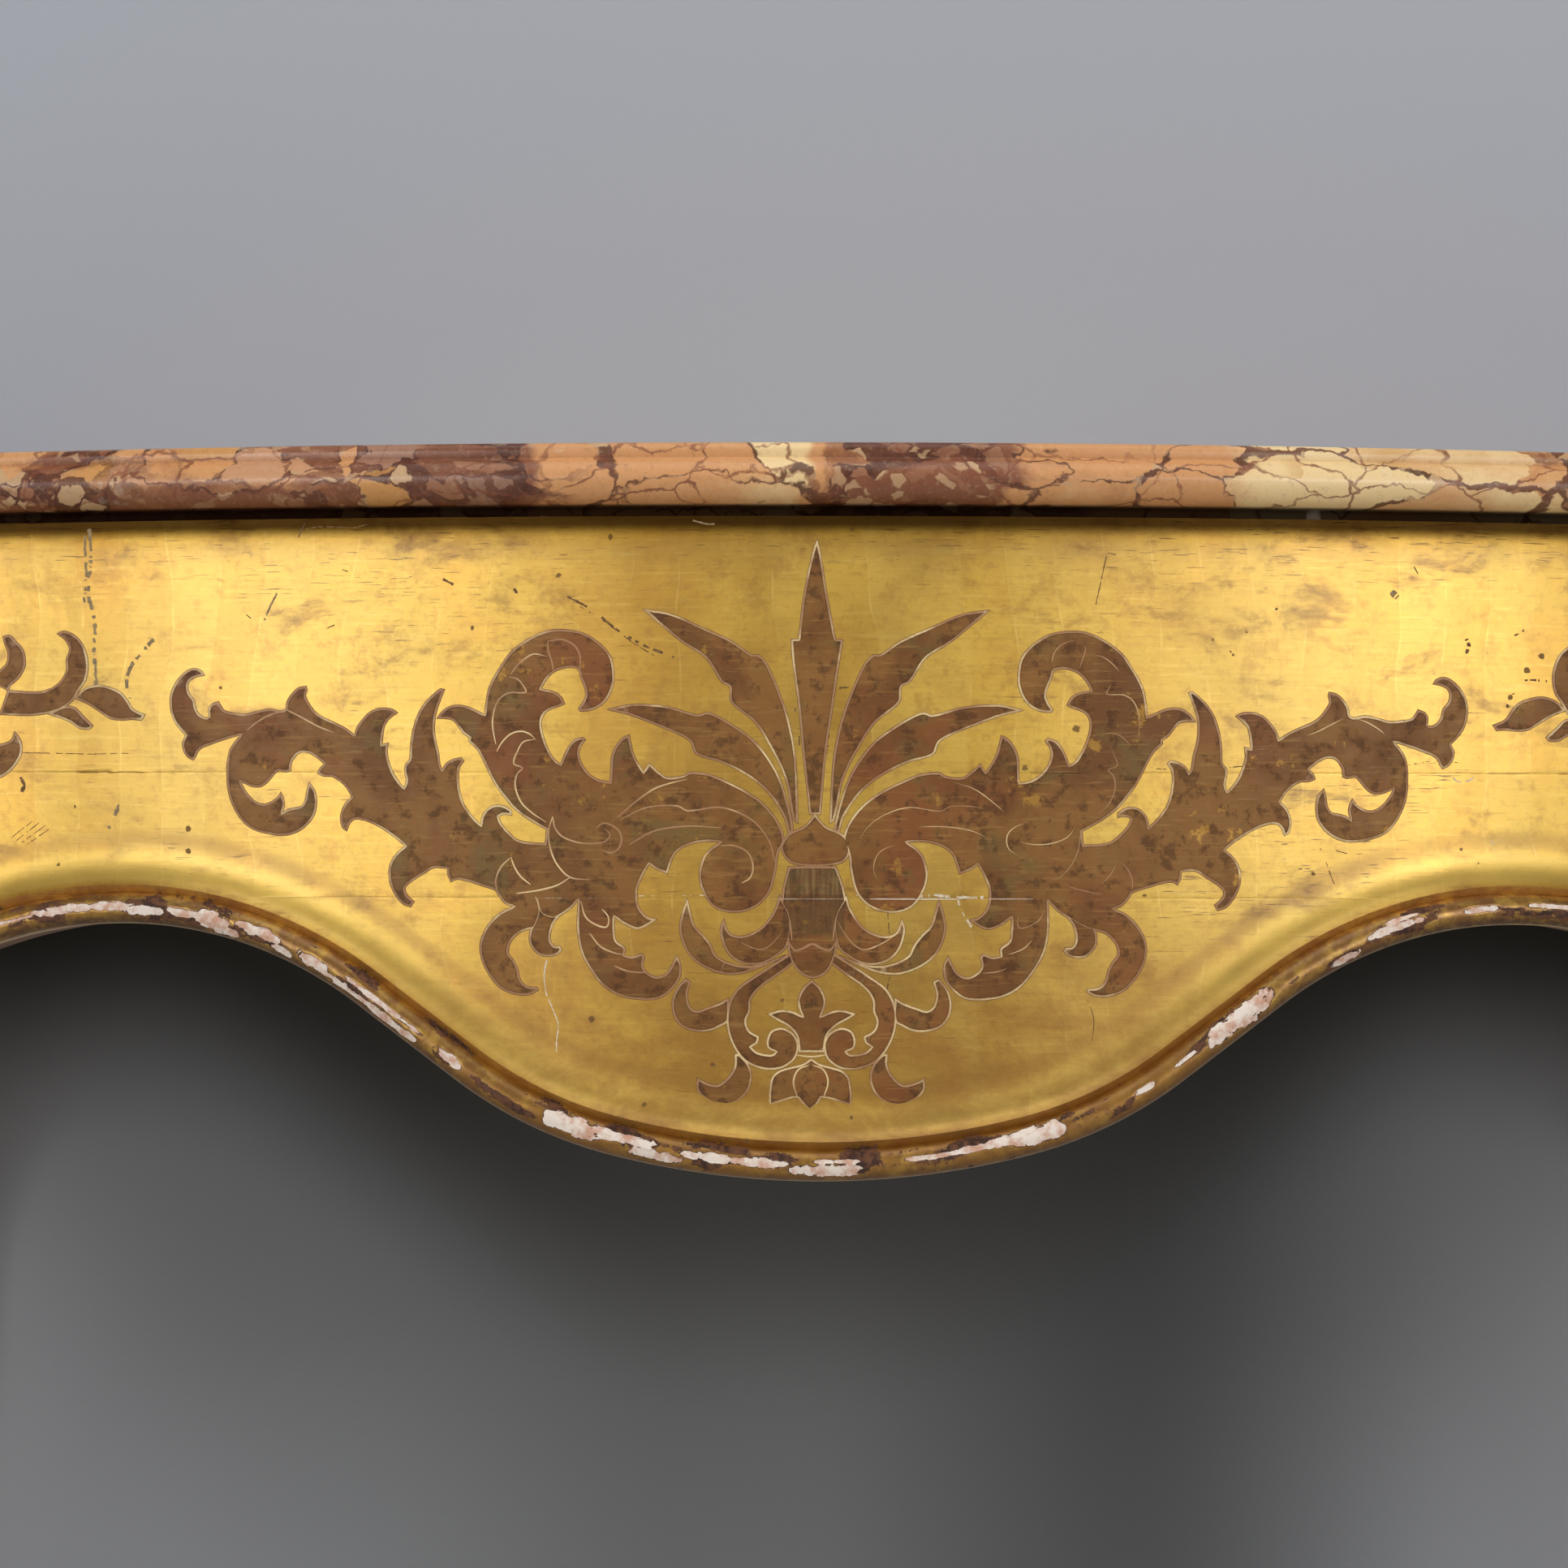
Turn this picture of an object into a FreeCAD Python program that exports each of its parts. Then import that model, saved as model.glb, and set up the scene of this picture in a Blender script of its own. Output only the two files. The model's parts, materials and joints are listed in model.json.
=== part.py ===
"""A marble-top console table: a serpentine giltwood frame on four cabriole legs, under a loose marble slab.

Millimetres, +Z up, front towards -Y. The origin is on the floor under the middle of the bounding box.
The front apron is glued up from three boards. A carved border, a hollow, a quirk and a roll, follows its
lower outline, crosses onto the legs and runs down their inner edges. The boards are tenoned into the leg
posts and pegged from inside. The slab lies loose on the frame and on two cross bearers.
"""

import FreeCAD
import Part
import math
import os

from FreeCAD import Vector

# Overall sizes
table_height = 900.0
frame_side_length = 470.0
front_overhang = 15.0
back_overhang = 10.0

# The front face in plan, from its middle to a corner: a bow, a hollow and a straight
front_half_length = 590.0
front_bow_share = 0.585
front_bow_radius = 1585.0
front_hollow_radius = 600.0

# The side face in plan, from its middle to a corner
side_bow_share = 0.383
side_bow_radius = 600.0
side_hollow_radius = 430.0

# The lower outline of the front apron, from the middle of its drop to the leg's inner edge. The shares
# are of the front's half length.
drop_depth = 295.0
drop_radius_share = 0.6525
drop_angle = 14.0
shoulder_radius_share = 0.3305
slope_angle = 36.5
slope_length_share = 0.0949
arch_inner_radius_share = 0.305
leg_inner_edge = 56.0

# The lower outline of a side apron is one arch
side_arch_depth = 210.0

# Marble slab
slab_thickness = 32.0
slab_step_height = 6.5
slab_step_inset = 5.0
slab_step_rounding = 4.0
slab_nose_top_rounding = 10.0
slab_nose_bottom_rounding = 13.0

# Apron boards, and the glue lines between them, measured down from the frame's top
board_thickness = 34.0
upper_glue_line = 114.0
lower_glue_line = 170.0

# Carved border, measured across the face from the outline, and forward from the face
roll_radius = 7.2
roll_forward = 9.5
roll_open_angle = 76.0
quirk_width = 3.6
quirk_rise = 2.2
hollow_width = 21.0

# Legs
post_side = 78.0
post_corner_radius = 24.0
leg_corner_share = 0.30
flank_share = 0.62
inner_corner_share = 0.93
foot_width = 54.0

# Foot blocks
foot_block_height = 16.0
foot_block_margin = 7.0
foot_block_rounding = 3.0

# Mortise and tenon joints, with pegs driven from inside
tenon_thickness = 11.0
tenon_length = 36.0
tenon_shoulder = 10.0
tenon_clearance = 0.1
peg_radius = 3.5
peg_clearance = 0.05
peg_cover = 6.0

# Heights of the pegs as shares of a tenon, so that pegs in one post pass each other
front_peg_shares = (0.50,)
side_peg_shares = (0.35, 0.70)
rail_peg_shares = (0.10, 0.90)

# Back rail, cross bearers and battens
rail_thickness = 22.0
rail_height = 110.0
rail_tenon_thickness = 9.0
bearer_width = 60.0
bearer_thickness = 24.0
bearer_offset = 250.0
bearer_housing = 12.0
batten_width = 44.0
batten_thickness = 16.0
batten_offset = 150.0
batten_end_gap = 30.0
glue_gap = 0.1

# Modelling values
cut_overrun = 5.0
apron_station_spacing = 20.0
leg_stations = 24
cubic_quarter = 0.5523

frame_top = table_height - slab_thickness
up = Vector(0, 0, 1)


def walk(u, v, heading, curve, length):
    """The point and heading reached by following a stretch of that curvature, positive to the left."""
    if not curve:
        return u + length * math.cos(heading), v + length * math.sin(heading), heading
    turned = heading + curve * length
    return (
        u + (math.sin(turned) - math.sin(heading)) / curve,
        v - (math.cos(turned) - math.cos(heading)) / curve,
        turned,
    )


def lay_out(pieces):
    """Lays (length, curvature) stretches end to end from the origin, along +u."""
    u = v = heading = begun = 0.0
    laid = []
    for length, curve in pieces:
        laid.append((begun, length, curve, u, v, heading))
        u, v, heading = walk(u, v, heading, curve, length)
        begun += length
    return laid


def follow(laid, distance):
    """The point and heading at that distance along a laid line; its last stretch runs on."""
    begun, length, curve, u, v, heading = next(
        (stretch for stretch in laid if distance <= stretch[0] + stretch[1]), laid[-1]
    )
    return walk(u, v, heading, curve, distance - begun)


def serpentine(bow_radius, bow_share, hollow_radius, half_length):
    """Half a serpentine face in plan: the hollow turns back as far as the bow turned."""
    bow_length = bow_share * half_length
    hollow_length = bow_length * hollow_radius / bow_radius
    straight = half_length - bow_length - hollow_length
    return [(bow_length, 1 / bow_radius), (hollow_length, -1 / hollow_radius), (straight, 0.0)]


front_plan = lay_out(
    serpentine(front_bow_radius, front_bow_share, front_hollow_radius, front_half_length)
)
side_half_length = frame_side_length / 2
side_plan = lay_out(
    serpentine(side_bow_radius, side_bow_share, side_hollow_radius, side_half_length)
)
corner_x, front_setback, _ = follow(front_plan, front_half_length)
side_reach, side_setback, _ = follow(side_plan, side_half_length)
frame_side_depth = 2 * side_reach
slab_depth = front_overhang + front_setback + frame_side_depth + back_overhang
slab_half_width = corner_x + side_setback + front_overhang
front_middle_y = front_overhang - slab_depth / 2
front_corner_y = front_middle_y + front_setback
back_y = front_corner_y + frame_side_depth
side_middle_y = (front_corner_y + back_y) / 2


class Face:
    """An outer face of the frame. A place on it is a distance from its middle, how far forward, a height."""

    def __init__(self, plan, middle, along, outward):
        self.plan, self.middle, self.along, self.outward = plan, middle, along, outward

    def at(self, distance, forward, height):
        u, v, heading = follow(self.plan, abs(distance))
        u += forward * math.sin(heading)
        v -= forward * math.cos(heading)
        return self.middle + self.along * math.copysign(u, distance) - self.outward * v + up * height


front_face = Face(front_plan, Vector(0, front_middle_y, 0), Vector(1, 0, 0), Vector(0, -1, 0))


def side_face(hand):
    """The right side's face for hand 1, the left side's for hand -1."""
    middle = Vector(hand * (corner_x + side_setback), side_middle_y, 0)
    return Face(side_plan, middle, Vector(0, 1, 0), Vector(hand, 0, 0))


class Outline:
    """The lower outline of an apron in elevation, with the lines that run parallel above it."""

    def __init__(self, pieces, start_height):
        self.laid = lay_out(pieces)
        self.start_height = start_height

    def parallel_stretch(self, stretch, gap):
        """Ends, curvature sign, centre and radius of a stretch moved up by gap, square to itself."""
        _, length, curve, u, v, heading = stretch
        end_u, end_v, end_heading = walk(u, v, heading, curve, length)
        first = (u - gap * math.sin(heading), v + gap * math.cos(heading))
        last = (end_u - gap * math.sin(end_heading), end_v + gap * math.cos(end_heading))
        if not curve:
            return first, last, 0, None, None
        centre = (u - math.sin(heading) / curve, v + math.cos(heading) / curve)
        return first, last, math.copysign(1, curve), centre, 1 / abs(curve) - math.copysign(gap, curve)

    def height(self, distance, gap):
        """Height of the line gap above the outline, at that distance from the middle."""
        distance = abs(distance)
        for stretch in self.laid:
            first, last, bend, centre, radius = self.parallel_stretch(stretch, gap)
            if distance > last[0]:
                continue
            if not bend:
                share = (distance - first[0]) / (last[0] - first[0])
                return self.start_height + first[1] + share * (last[1] - first[1])
            lift = math.sqrt(radius**2 - (distance - centre[0]) ** 2)
            return self.start_height + centre[1] - bend * lift
        raise ValueError("the outline ends before that distance")

    def springing(self):
        """Height at which the last arch turns upright."""
        _, _, _, centre, _ = self.parallel_stretch(self.laid[-1], 0)
        return self.start_height + centre[1]

    def reach(self, height, gap):
        """Distance from the middle at which the last arch's parallel line has that height."""
        _, _, _, centre, radius = self.parallel_stretch(self.laid[-1], gap)
        rise = max(height - self.start_height - centre[1], 0)
        return centre[0] + math.sqrt(max(radius**2 - rise**2, 0))


def turn(radius, degrees):
    """A round stretch that turns left by that angle, or right if the angle is negative."""
    return abs(math.radians(degrees)) * radius, math.copysign(1 / radius, degrees)


quarter_turn = 90.0
middle_to_apex = [
    turn(drop_radius_share * front_half_length, drop_angle),
    turn(shoulder_radius_share * front_half_length, slope_angle - drop_angle),
    (slope_length_share * front_half_length, 0.0),
    turn(arch_inner_radius_share * front_half_length, -slope_angle),
]
arch_apex, _, _ = follow(lay_out(middle_to_apex), sum(length for length, _ in middle_to_apex))
arch_outer_radius = front_half_length - leg_inner_edge - arch_apex
front_outline = Outline([*middle_to_apex, turn(arch_outer_radius, -quarter_turn)], frame_top - drop_depth)
side_arch_radius = side_half_length - leg_inner_edge
side_outline = Outline([turn(side_arch_radius, -quarter_turn)], frame_top - side_arch_depth)


def line(start, end):
    return Part.LineSegment(start, end).toShape()


def edge(poles):
    """A straight edge between two poles, or a cubic one from four."""
    curve = Part.BezierCurve()
    curve.setPoles(poles)
    return curve.toShape()


def outline_wire(section):
    return Part.Wire([edge(poles) for poles in section])


def strip_surface(strip):
    """The smooth surface through the same edge of every section; each of its poles follows a curve."""
    count = len(strip)
    places = list(range(count))
    across = len(strip[0])
    curves = []
    for pole in range(across):
        curve = Part.BSplineCurve()
        curve.interpolate(Points=[poles[pole] for poles in strip], Parameters=places)
        curves.append(curve)
    along = curves[0]
    poles = [list(row) for row in zip(*[curve.getPoles() for curve in curves])]
    surface = Part.BSplineSurface()
    surface.buildFromPolesMultsKnots(
        poles, along.getMultiplicities(), [across, across], along.getKnots(), [0, 1],
        False, False, along.Degree, across - 1,
    )
    return surface.toShape()


def skinned(sections):
    """A solid through closed sections. A section is a ring of edges, each a list of poles."""
    faces = [strip_surface(strip) for strip in zip(*sections)]
    faces += [Part.Face(outline_wire(sections[0])), Part.Face(outline_wire(sections[-1]))]
    shell = Part.makeShell(faces)
    shell.sewShape()
    solid = Part.makeSolid(shell)
    return solid if solid.Volume > 0 else solid.reversed()


roll_centre_forward = roll_forward - roll_radius
roll_open = math.radians(roll_open_angle)
roll_top_pull = 4 / 3 * math.tan(roll_open / 4) * roll_radius
roll_bottom_pull = cubic_quarter * roll_radius
quirk_start = (
    roll_radius + roll_radius * math.sin(roll_open),
    roll_centre_forward + roll_radius * math.cos(roll_open),
)
quirk_end = (quirk_start[0] + quirk_width, quirk_start[1] + quirk_rise)
border_width = quirk_end[0] + hollow_width
hollow_steep_shares = (0.22, 0.25)
hollow_flat_share = 0.48


def border_edges(place):
    """The carved border as edges, from the outline's flank to the plain face. place(across, forward)
    gives the point at that distance across the face from the outline and forward of the face."""
    roll_top = place(roll_radius, roll_forward)
    lower_roll = [
        place(0, roll_centre_forward),
        place(0, roll_centre_forward + roll_bottom_pull),
        place(roll_radius - roll_bottom_pull, roll_forward),
        roll_top,
    ]
    upper_roll = [
        roll_top,
        place(roll_radius + roll_top_pull, roll_forward),
        place(
            quirk_start[0] - roll_top_pull * math.cos(roll_open),
            quirk_start[1] + roll_top_pull * math.sin(roll_open),
        ),
        place(*quirk_start),
    ]
    quirk = [place(*quirk_start), place(*quirk_end)]
    hollow = [
        place(*quirk_end),
        place(quirk_end[0] + hollow_steep_shares[0] * hollow_width, quirk_end[1] * hollow_steep_shares[1]),
        place(quirk_end[0] + hollow_flat_share * hollow_width, 0),
        place(border_width, 0),
    ]
    return [lower_roll, upper_roll, quirk, hollow]


def apron_section(face, outline, distance):
    """A closed upright section through an apron, square to its face at that distance from the middle."""

    def place(across, forward):
        return face.at(distance, forward, outline.height(distance, across))

    top_front = face.at(distance, 0, frame_top)
    top_back = face.at(distance, -board_thickness, frame_top)
    bottom_back = place(0, -board_thickness)
    return [
        [bottom_back, place(0, roll_centre_forward)],
        *border_edges(place),
        [place(border_width, 0), top_front],
        [top_front, top_back],
        [top_back, bottom_back],
    ]


def apron_blank(face, outline, half_length):
    """The whole carved apron in one piece, before it is divided into its boards."""
    stations = math.ceil(half_length / apron_station_spacing)
    steps = range(-stations, stations + 1)
    return skinned([apron_section(face, outline, half_length * step / stations) for step in steps])


def level_slice(solid, low, high):
    """The part of a solid between two heights."""
    bounds = solid.BoundBox
    width = bounds.XLength + 2 * cut_overrun
    depth = bounds.YLength + 2 * cut_overrun
    corner = Vector(bounds.XMin - cut_overrun, bounds.YMin - cut_overrun, low)
    return solid.common(Part.makeBox(width, depth, high - low, corner))


def box_between(first, second):
    """A box between two opposite corners."""
    low = Vector(min(first.x, second.x), min(first.y, second.y), min(first.z, second.z))
    size = Vector(abs(first.x - second.x), abs(first.y - second.y), abs(first.z - second.z))
    return Part.makeBox(size.x, size.y, size.z, low)


def tenon_box(face, hand, joint_distance, thickness, board, low, high, clearance):
    """A tenon at one end of a board, or with a clearance its mortise."""
    middle = -board / 2
    start = joint_distance if not clearance else joint_distance - cut_overrun
    first = face.at(hand * start, middle - thickness / 2 - clearance, low - clearance)
    second = face.at(
        hand * (joint_distance + tenon_length + clearance),
        middle + thickness / 2 + clearance,
        high + clearance,
    )
    return box_between(first, second)


def peg(face, hand, joint_distance, height, radius, board):
    """A peg square to the face, halfway along a tenon, from inside the post to behind the gilding."""
    start = face.at(hand * (joint_distance + tenon_length / 2), -post_side, height)
    length = post_side - peg_cover
    return Part.makeCylinder(radius, length, start, face.outward)


front_joint = front_half_length - post_side
side_joint = side_half_length - post_side


# Down the leg: height, outward sweep, inner edge, depth of a rear leg and scale of the border, as shares
# of the springing's height, the foot's width, the inner edge at the springing (twice) and the apron's border
leg_shares = [
    (0.034, 0.00, 0.965, 0.965, 0.50),
    (0.075, -0.08, 0.993, 0.900, 0.46),
    (0.120, -0.25, 1.050, 0.800, 0.42),
    (0.175, -0.39, 1.090, 0.730, 0.38),
    (0.250, -0.47, 1.110, 0.700, 0.37),
    (0.350, -0.44, 1.090, 0.715, 0.40),
    (0.470, -0.29, 1.030, 0.760, 0.47),
    (0.610, -0.08, 0.960, 0.830, 0.58),
    (0.750, 0.12, 0.915, 0.905, 0.72),
    (0.870, 0.225, 0.945, 0.965, 0.88),
    (0.950, 0.25, 0.985, 0.990, 0.97),
    (1.020, 0.225, 1.000, 1.000, 1.00),
    (1.090, 0.13, 1.000, 1.000, 1.00),
    (1.150, 0.04, 1.000, 1.000, 1.00),
    (1.200, 0.00, 1.000, 1.000, 1.00),
    (1.400, 0.00, 1.000, 1.000, 1.00),
]


def smooth_row(rows, key):
    """The row at that key, on a smooth curve through the rows."""
    last = len(rows) - 1
    at = next((i for i in range(last) if key <= rows[i + 1][0]), last - 1)
    low, high = rows[at], rows[at + 1]
    before, after = rows[max(at - 1, 0)], rows[min(at + 2, last)]
    span = high[0] - low[0]
    t = (key - low[0]) / span
    found = []
    for column in range(1, len(low)):
        low_slope = (high[column] - before[column]) / (high[0] - before[0]) * span
        high_slope = (after[column] - low[column]) / (after[0] - low[0]) * span
        found.append(
            low[column] * (2 * t**3 - 3 * t**2 + 1)
            + low_slope * (t**3 - 2 * t**2 + t)
            + high[column] * (3 * t**2 - 2 * t**3)
            + high_slope * (t**3 - t**2)
        )
    return found


class Leg:
    """One leg. Its plan is measured from the post's outer corner: across from the side face, and in from
    the front face or, on a rear leg, from the back."""

    def __init__(self, hand, front):
        self.hand, self.front = hand, front
        self.corner = Vector(hand * corner_x, front_corner_y if front else back_y, 0)
        self.inward = 1 if front else -1

    def point(self, across, inward, height, sweep):
        across_moved = across - sweep
        inward_moved = inward - (sweep if self.front else 0)
        return self.corner + Vector(-self.hand * across_moved, self.inward * inward_moved, height)

    def stations(self):
        """Evenly spaced heights from the foot up to where the boards' joints begin to be plain."""
        span = self.joined_height() - foot_block_height
        return [foot_block_height + span * step / leg_stations for step in range(leg_stations + 1)]

    def joined_height(self):
        """Height above which the post's outer faces are plain at the boards' joints."""
        return max(
            front_outline.height(front_joint, border_width), side_outline.height(side_joint, border_width)
        )

    def section(self, height):
        """A closed level section. The faces towards the front and the side carry the border."""
        springing = front_outline.springing()
        sweep, inner, depth, scale = smooth_row(leg_shares, height / springing)
        sweep *= foot_width
        inner *= leg_inner_edge
        depth *= leg_inner_edge

        def front_across(gap):
            if height < springing:
                return inner + sweep - gap * scale
            return front_half_length - front_outline.reach(height, gap) + sweep

        def side_across(gap):
            if height > side_outline.springing():
                return side_half_length - side_outline.reach(height, gap) + (sweep if self.front else 0)
            return (inner + sweep if self.front else depth) - gap * scale

        def on_front(gap, forward):
            return self.point(front_across(gap), -forward * scale, height, sweep)

        def on_side(gap, forward):
            return self.point(-forward * scale, side_across(gap), height, sweep)

        front_width, side_width = front_across(0), side_across(0)
        rounding = min(post_corner_radius, leg_corner_share * min(front_width, side_width))
        pull = rounding * (1 - cubic_quarter)
        inner_corner = self.point(
            inner_corner_share * front_width, inner_corner_share * side_width, height, sweep
        )
        front_flank = self.point(front_width, flank_share * side_width, height, sweep)
        side_flank = self.point(flank_share * front_width, side_width, height, sweep)
        front_edge = self.point(rounding, 0, height, sweep)
        side_edge = self.point(0, rounding, height, sweep)
        if self.front:
            front = [
                [front_flank, on_front(0, roll_centre_forward)],
                *border_edges(on_front),
                [on_front(border_width, 0), front_edge],
            ]
        else:
            back_corner = self.point(front_width, 0, height, sweep)
            front = [[front_flank, back_corner], [back_corner, front_edge]]
        corner = [
            front_edge,
            self.point(pull, 0, height, sweep),
            self.point(0, pull, height, sweep),
            side_edge,
        ]
        side = [
            [side_edge, on_side(border_width, 0)],
            *[poles[::-1] for poles in reversed(border_edges(on_side))],
            [on_side(0, roll_centre_forward), side_flank],
        ]
        return [[inner_corner, front_flank], *front, corner, *side, [side_flank, inner_corner]]

    def post_section(self, height):
        """The plain post's section, rounded at its outer corner."""
        pull = post_corner_radius * (1 - cubic_quarter)
        points = [
            self.point(post_corner_radius, 0, height, 0),
            self.point(0, post_corner_radius, height, 0),
            self.point(0, post_side, height, 0),
            self.point(post_side, post_side, height, 0),
            self.point(post_side, 0, height, 0),
        ]
        corner = [
            points[0], self.point(pull, 0, height, 0), self.point(0, pull, height, 0), points[1]
        ]
        straight = [[points[i], points[i + 1]] for i in range(1, 4)]
        return outline_wire([corner, *straight, [points[4], points[0]]])

    def solid(self):
        """The leg with its post, before the mortises are cut."""
        carved = skinned([self.section(height) for height in self.stations()])
        joined = self.joined_height()
        outside = front_half_length
        stock = box_between(
            self.point(-outside, -outside, 0, 0), self.point(post_side, post_side, joined, 0)
        )
        post = Part.Face(self.post_section(joined)).extrude(up * (frame_top - joined))
        return carved.common(stock).fuse(post).removeSplitter()

    def foot_block(self):
        """The block under the foot, rounded along its edges."""
        low = -foot_block_margin
        high = foot_width + foot_block_margin
        back_margin = low if self.front else 0
        block = box_between(
            self.point(low, back_margin, 0, 0), self.point(high, high, foot_block_height, 0)
        )
        rounded = [e for e in block.Edges if e.BoundBox.ZMin > 0 or e.BoundBox.ZLength > 0]
        return block.makeFillet(foot_block_rounding, rounded)


def slab_wire(overhang, height):
    """The slab's outline at a height: the frame's outline moved out, closed by a straight back."""

    def arc_run(face, plan, hand, forward):
        edges = []
        for begun, length, curve, *_ in plan:
            ends = [hand * begun, hand * (begun + length / 2), hand * (begun + length)]
            points = [face.at(e, forward, height) for e in ends]
            edges.append(Part.Arc(*points).toShape() if curve else None)
        return edges

    edges = []
    corner_radius = post_corner_radius + overhang
    front_end = front_half_length - post_corner_radius
    side_end = side_half_length - post_corner_radius
    for hand in (1, -1):
        side = side_face(hand)
        edges += [e for e in arc_run(front_face, front_plan, hand, overhang) if e]
        edges.append(
            line(
                front_face.at(hand * (front_plan[2][0]), overhang, height),
                front_face.at(hand * front_end, overhang, height),
            )
        )
        centre = front_face.at(hand * front_end, -post_corner_radius, height)
        diagonal = Vector(hand, -1, 0).normalize() * corner_radius
        edges.append(
            Part.Arc(
                front_face.at(hand * front_end, overhang, height),
                centre + diagonal,
                side.at(-side_end, overhang, height),
            ).toShape()
        )
        edges.append(
            line(side.at(-side_end, overhang, height), side.at(-side_plan[2][0], overhang, height))
        )
        for end in (-1, 1):
            edges += [e for e in arc_run(side, side_plan, end, overhang) if e]
        back_end = side_half_length + back_overhang
        edges.append(
            line(side.at(side_plan[2][0], overhang, height), side.at(back_end, overhang, height))
        )
    edges.append(
        line(
            side_face(1).at(side_half_length + back_overhang, overhang, height),
            side_face(-1).at(side_half_length + back_overhang, overhang, height),
        )
    )
    return Part.Wire(Part.__sortEdges__(edges))


def marble_slab():
    """The slab: a deep nosing below, and above it a thin step, set back and rounded."""
    back = back_y + back_overhang
    nose_height = slab_thickness - slab_step_height

    def moulded(solid, height, radius):
        def showing(edge):
            level = abs(edge.BoundBox.ZMin - height) < 1e-6 and edge.BoundBox.ZLength < 1e-6
            return level and edge.BoundBox.YMin < back - cut_overrun

        return solid.makeFillet(radius, [e for e in solid.Edges if showing(e)])

    nose = Part.Face(slab_wire(front_overhang, frame_top)).extrude(up * nose_height)
    nose = moulded(nose, frame_top, slab_nose_bottom_rounding)
    nose = moulded(nose, frame_top + nose_height, slab_nose_top_rounding)
    step_bottom = frame_top + nose_height
    step_wire = slab_wire(front_overhang - slab_step_inset, step_bottom)
    step = Part.Face(step_wire).extrude(up * slab_step_height)
    step = moulded(step, table_height, slab_step_rounding)
    return nose.fuse(step)


def plan_block(face, first, last, front, back, low, high):
    """A block fitted to the curve of a face, between two distances and two depths behind it."""
    middle = (first + last) / 2
    wire = Part.Wire(
        [
            Part.Arc(*[face.at(d, front, low) for d in (first, middle, last)]).toShape(),
            line(face.at(last, front, low), face.at(last, back, low)),
            Part.Arc(*[face.at(d, back, low) for d in (last, middle, first)]).toShape(),
            line(face.at(first, back, low), face.at(first, front, low)),
        ]
    )
    return Part.Face(wire).extrude(up * (high - low))


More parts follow.
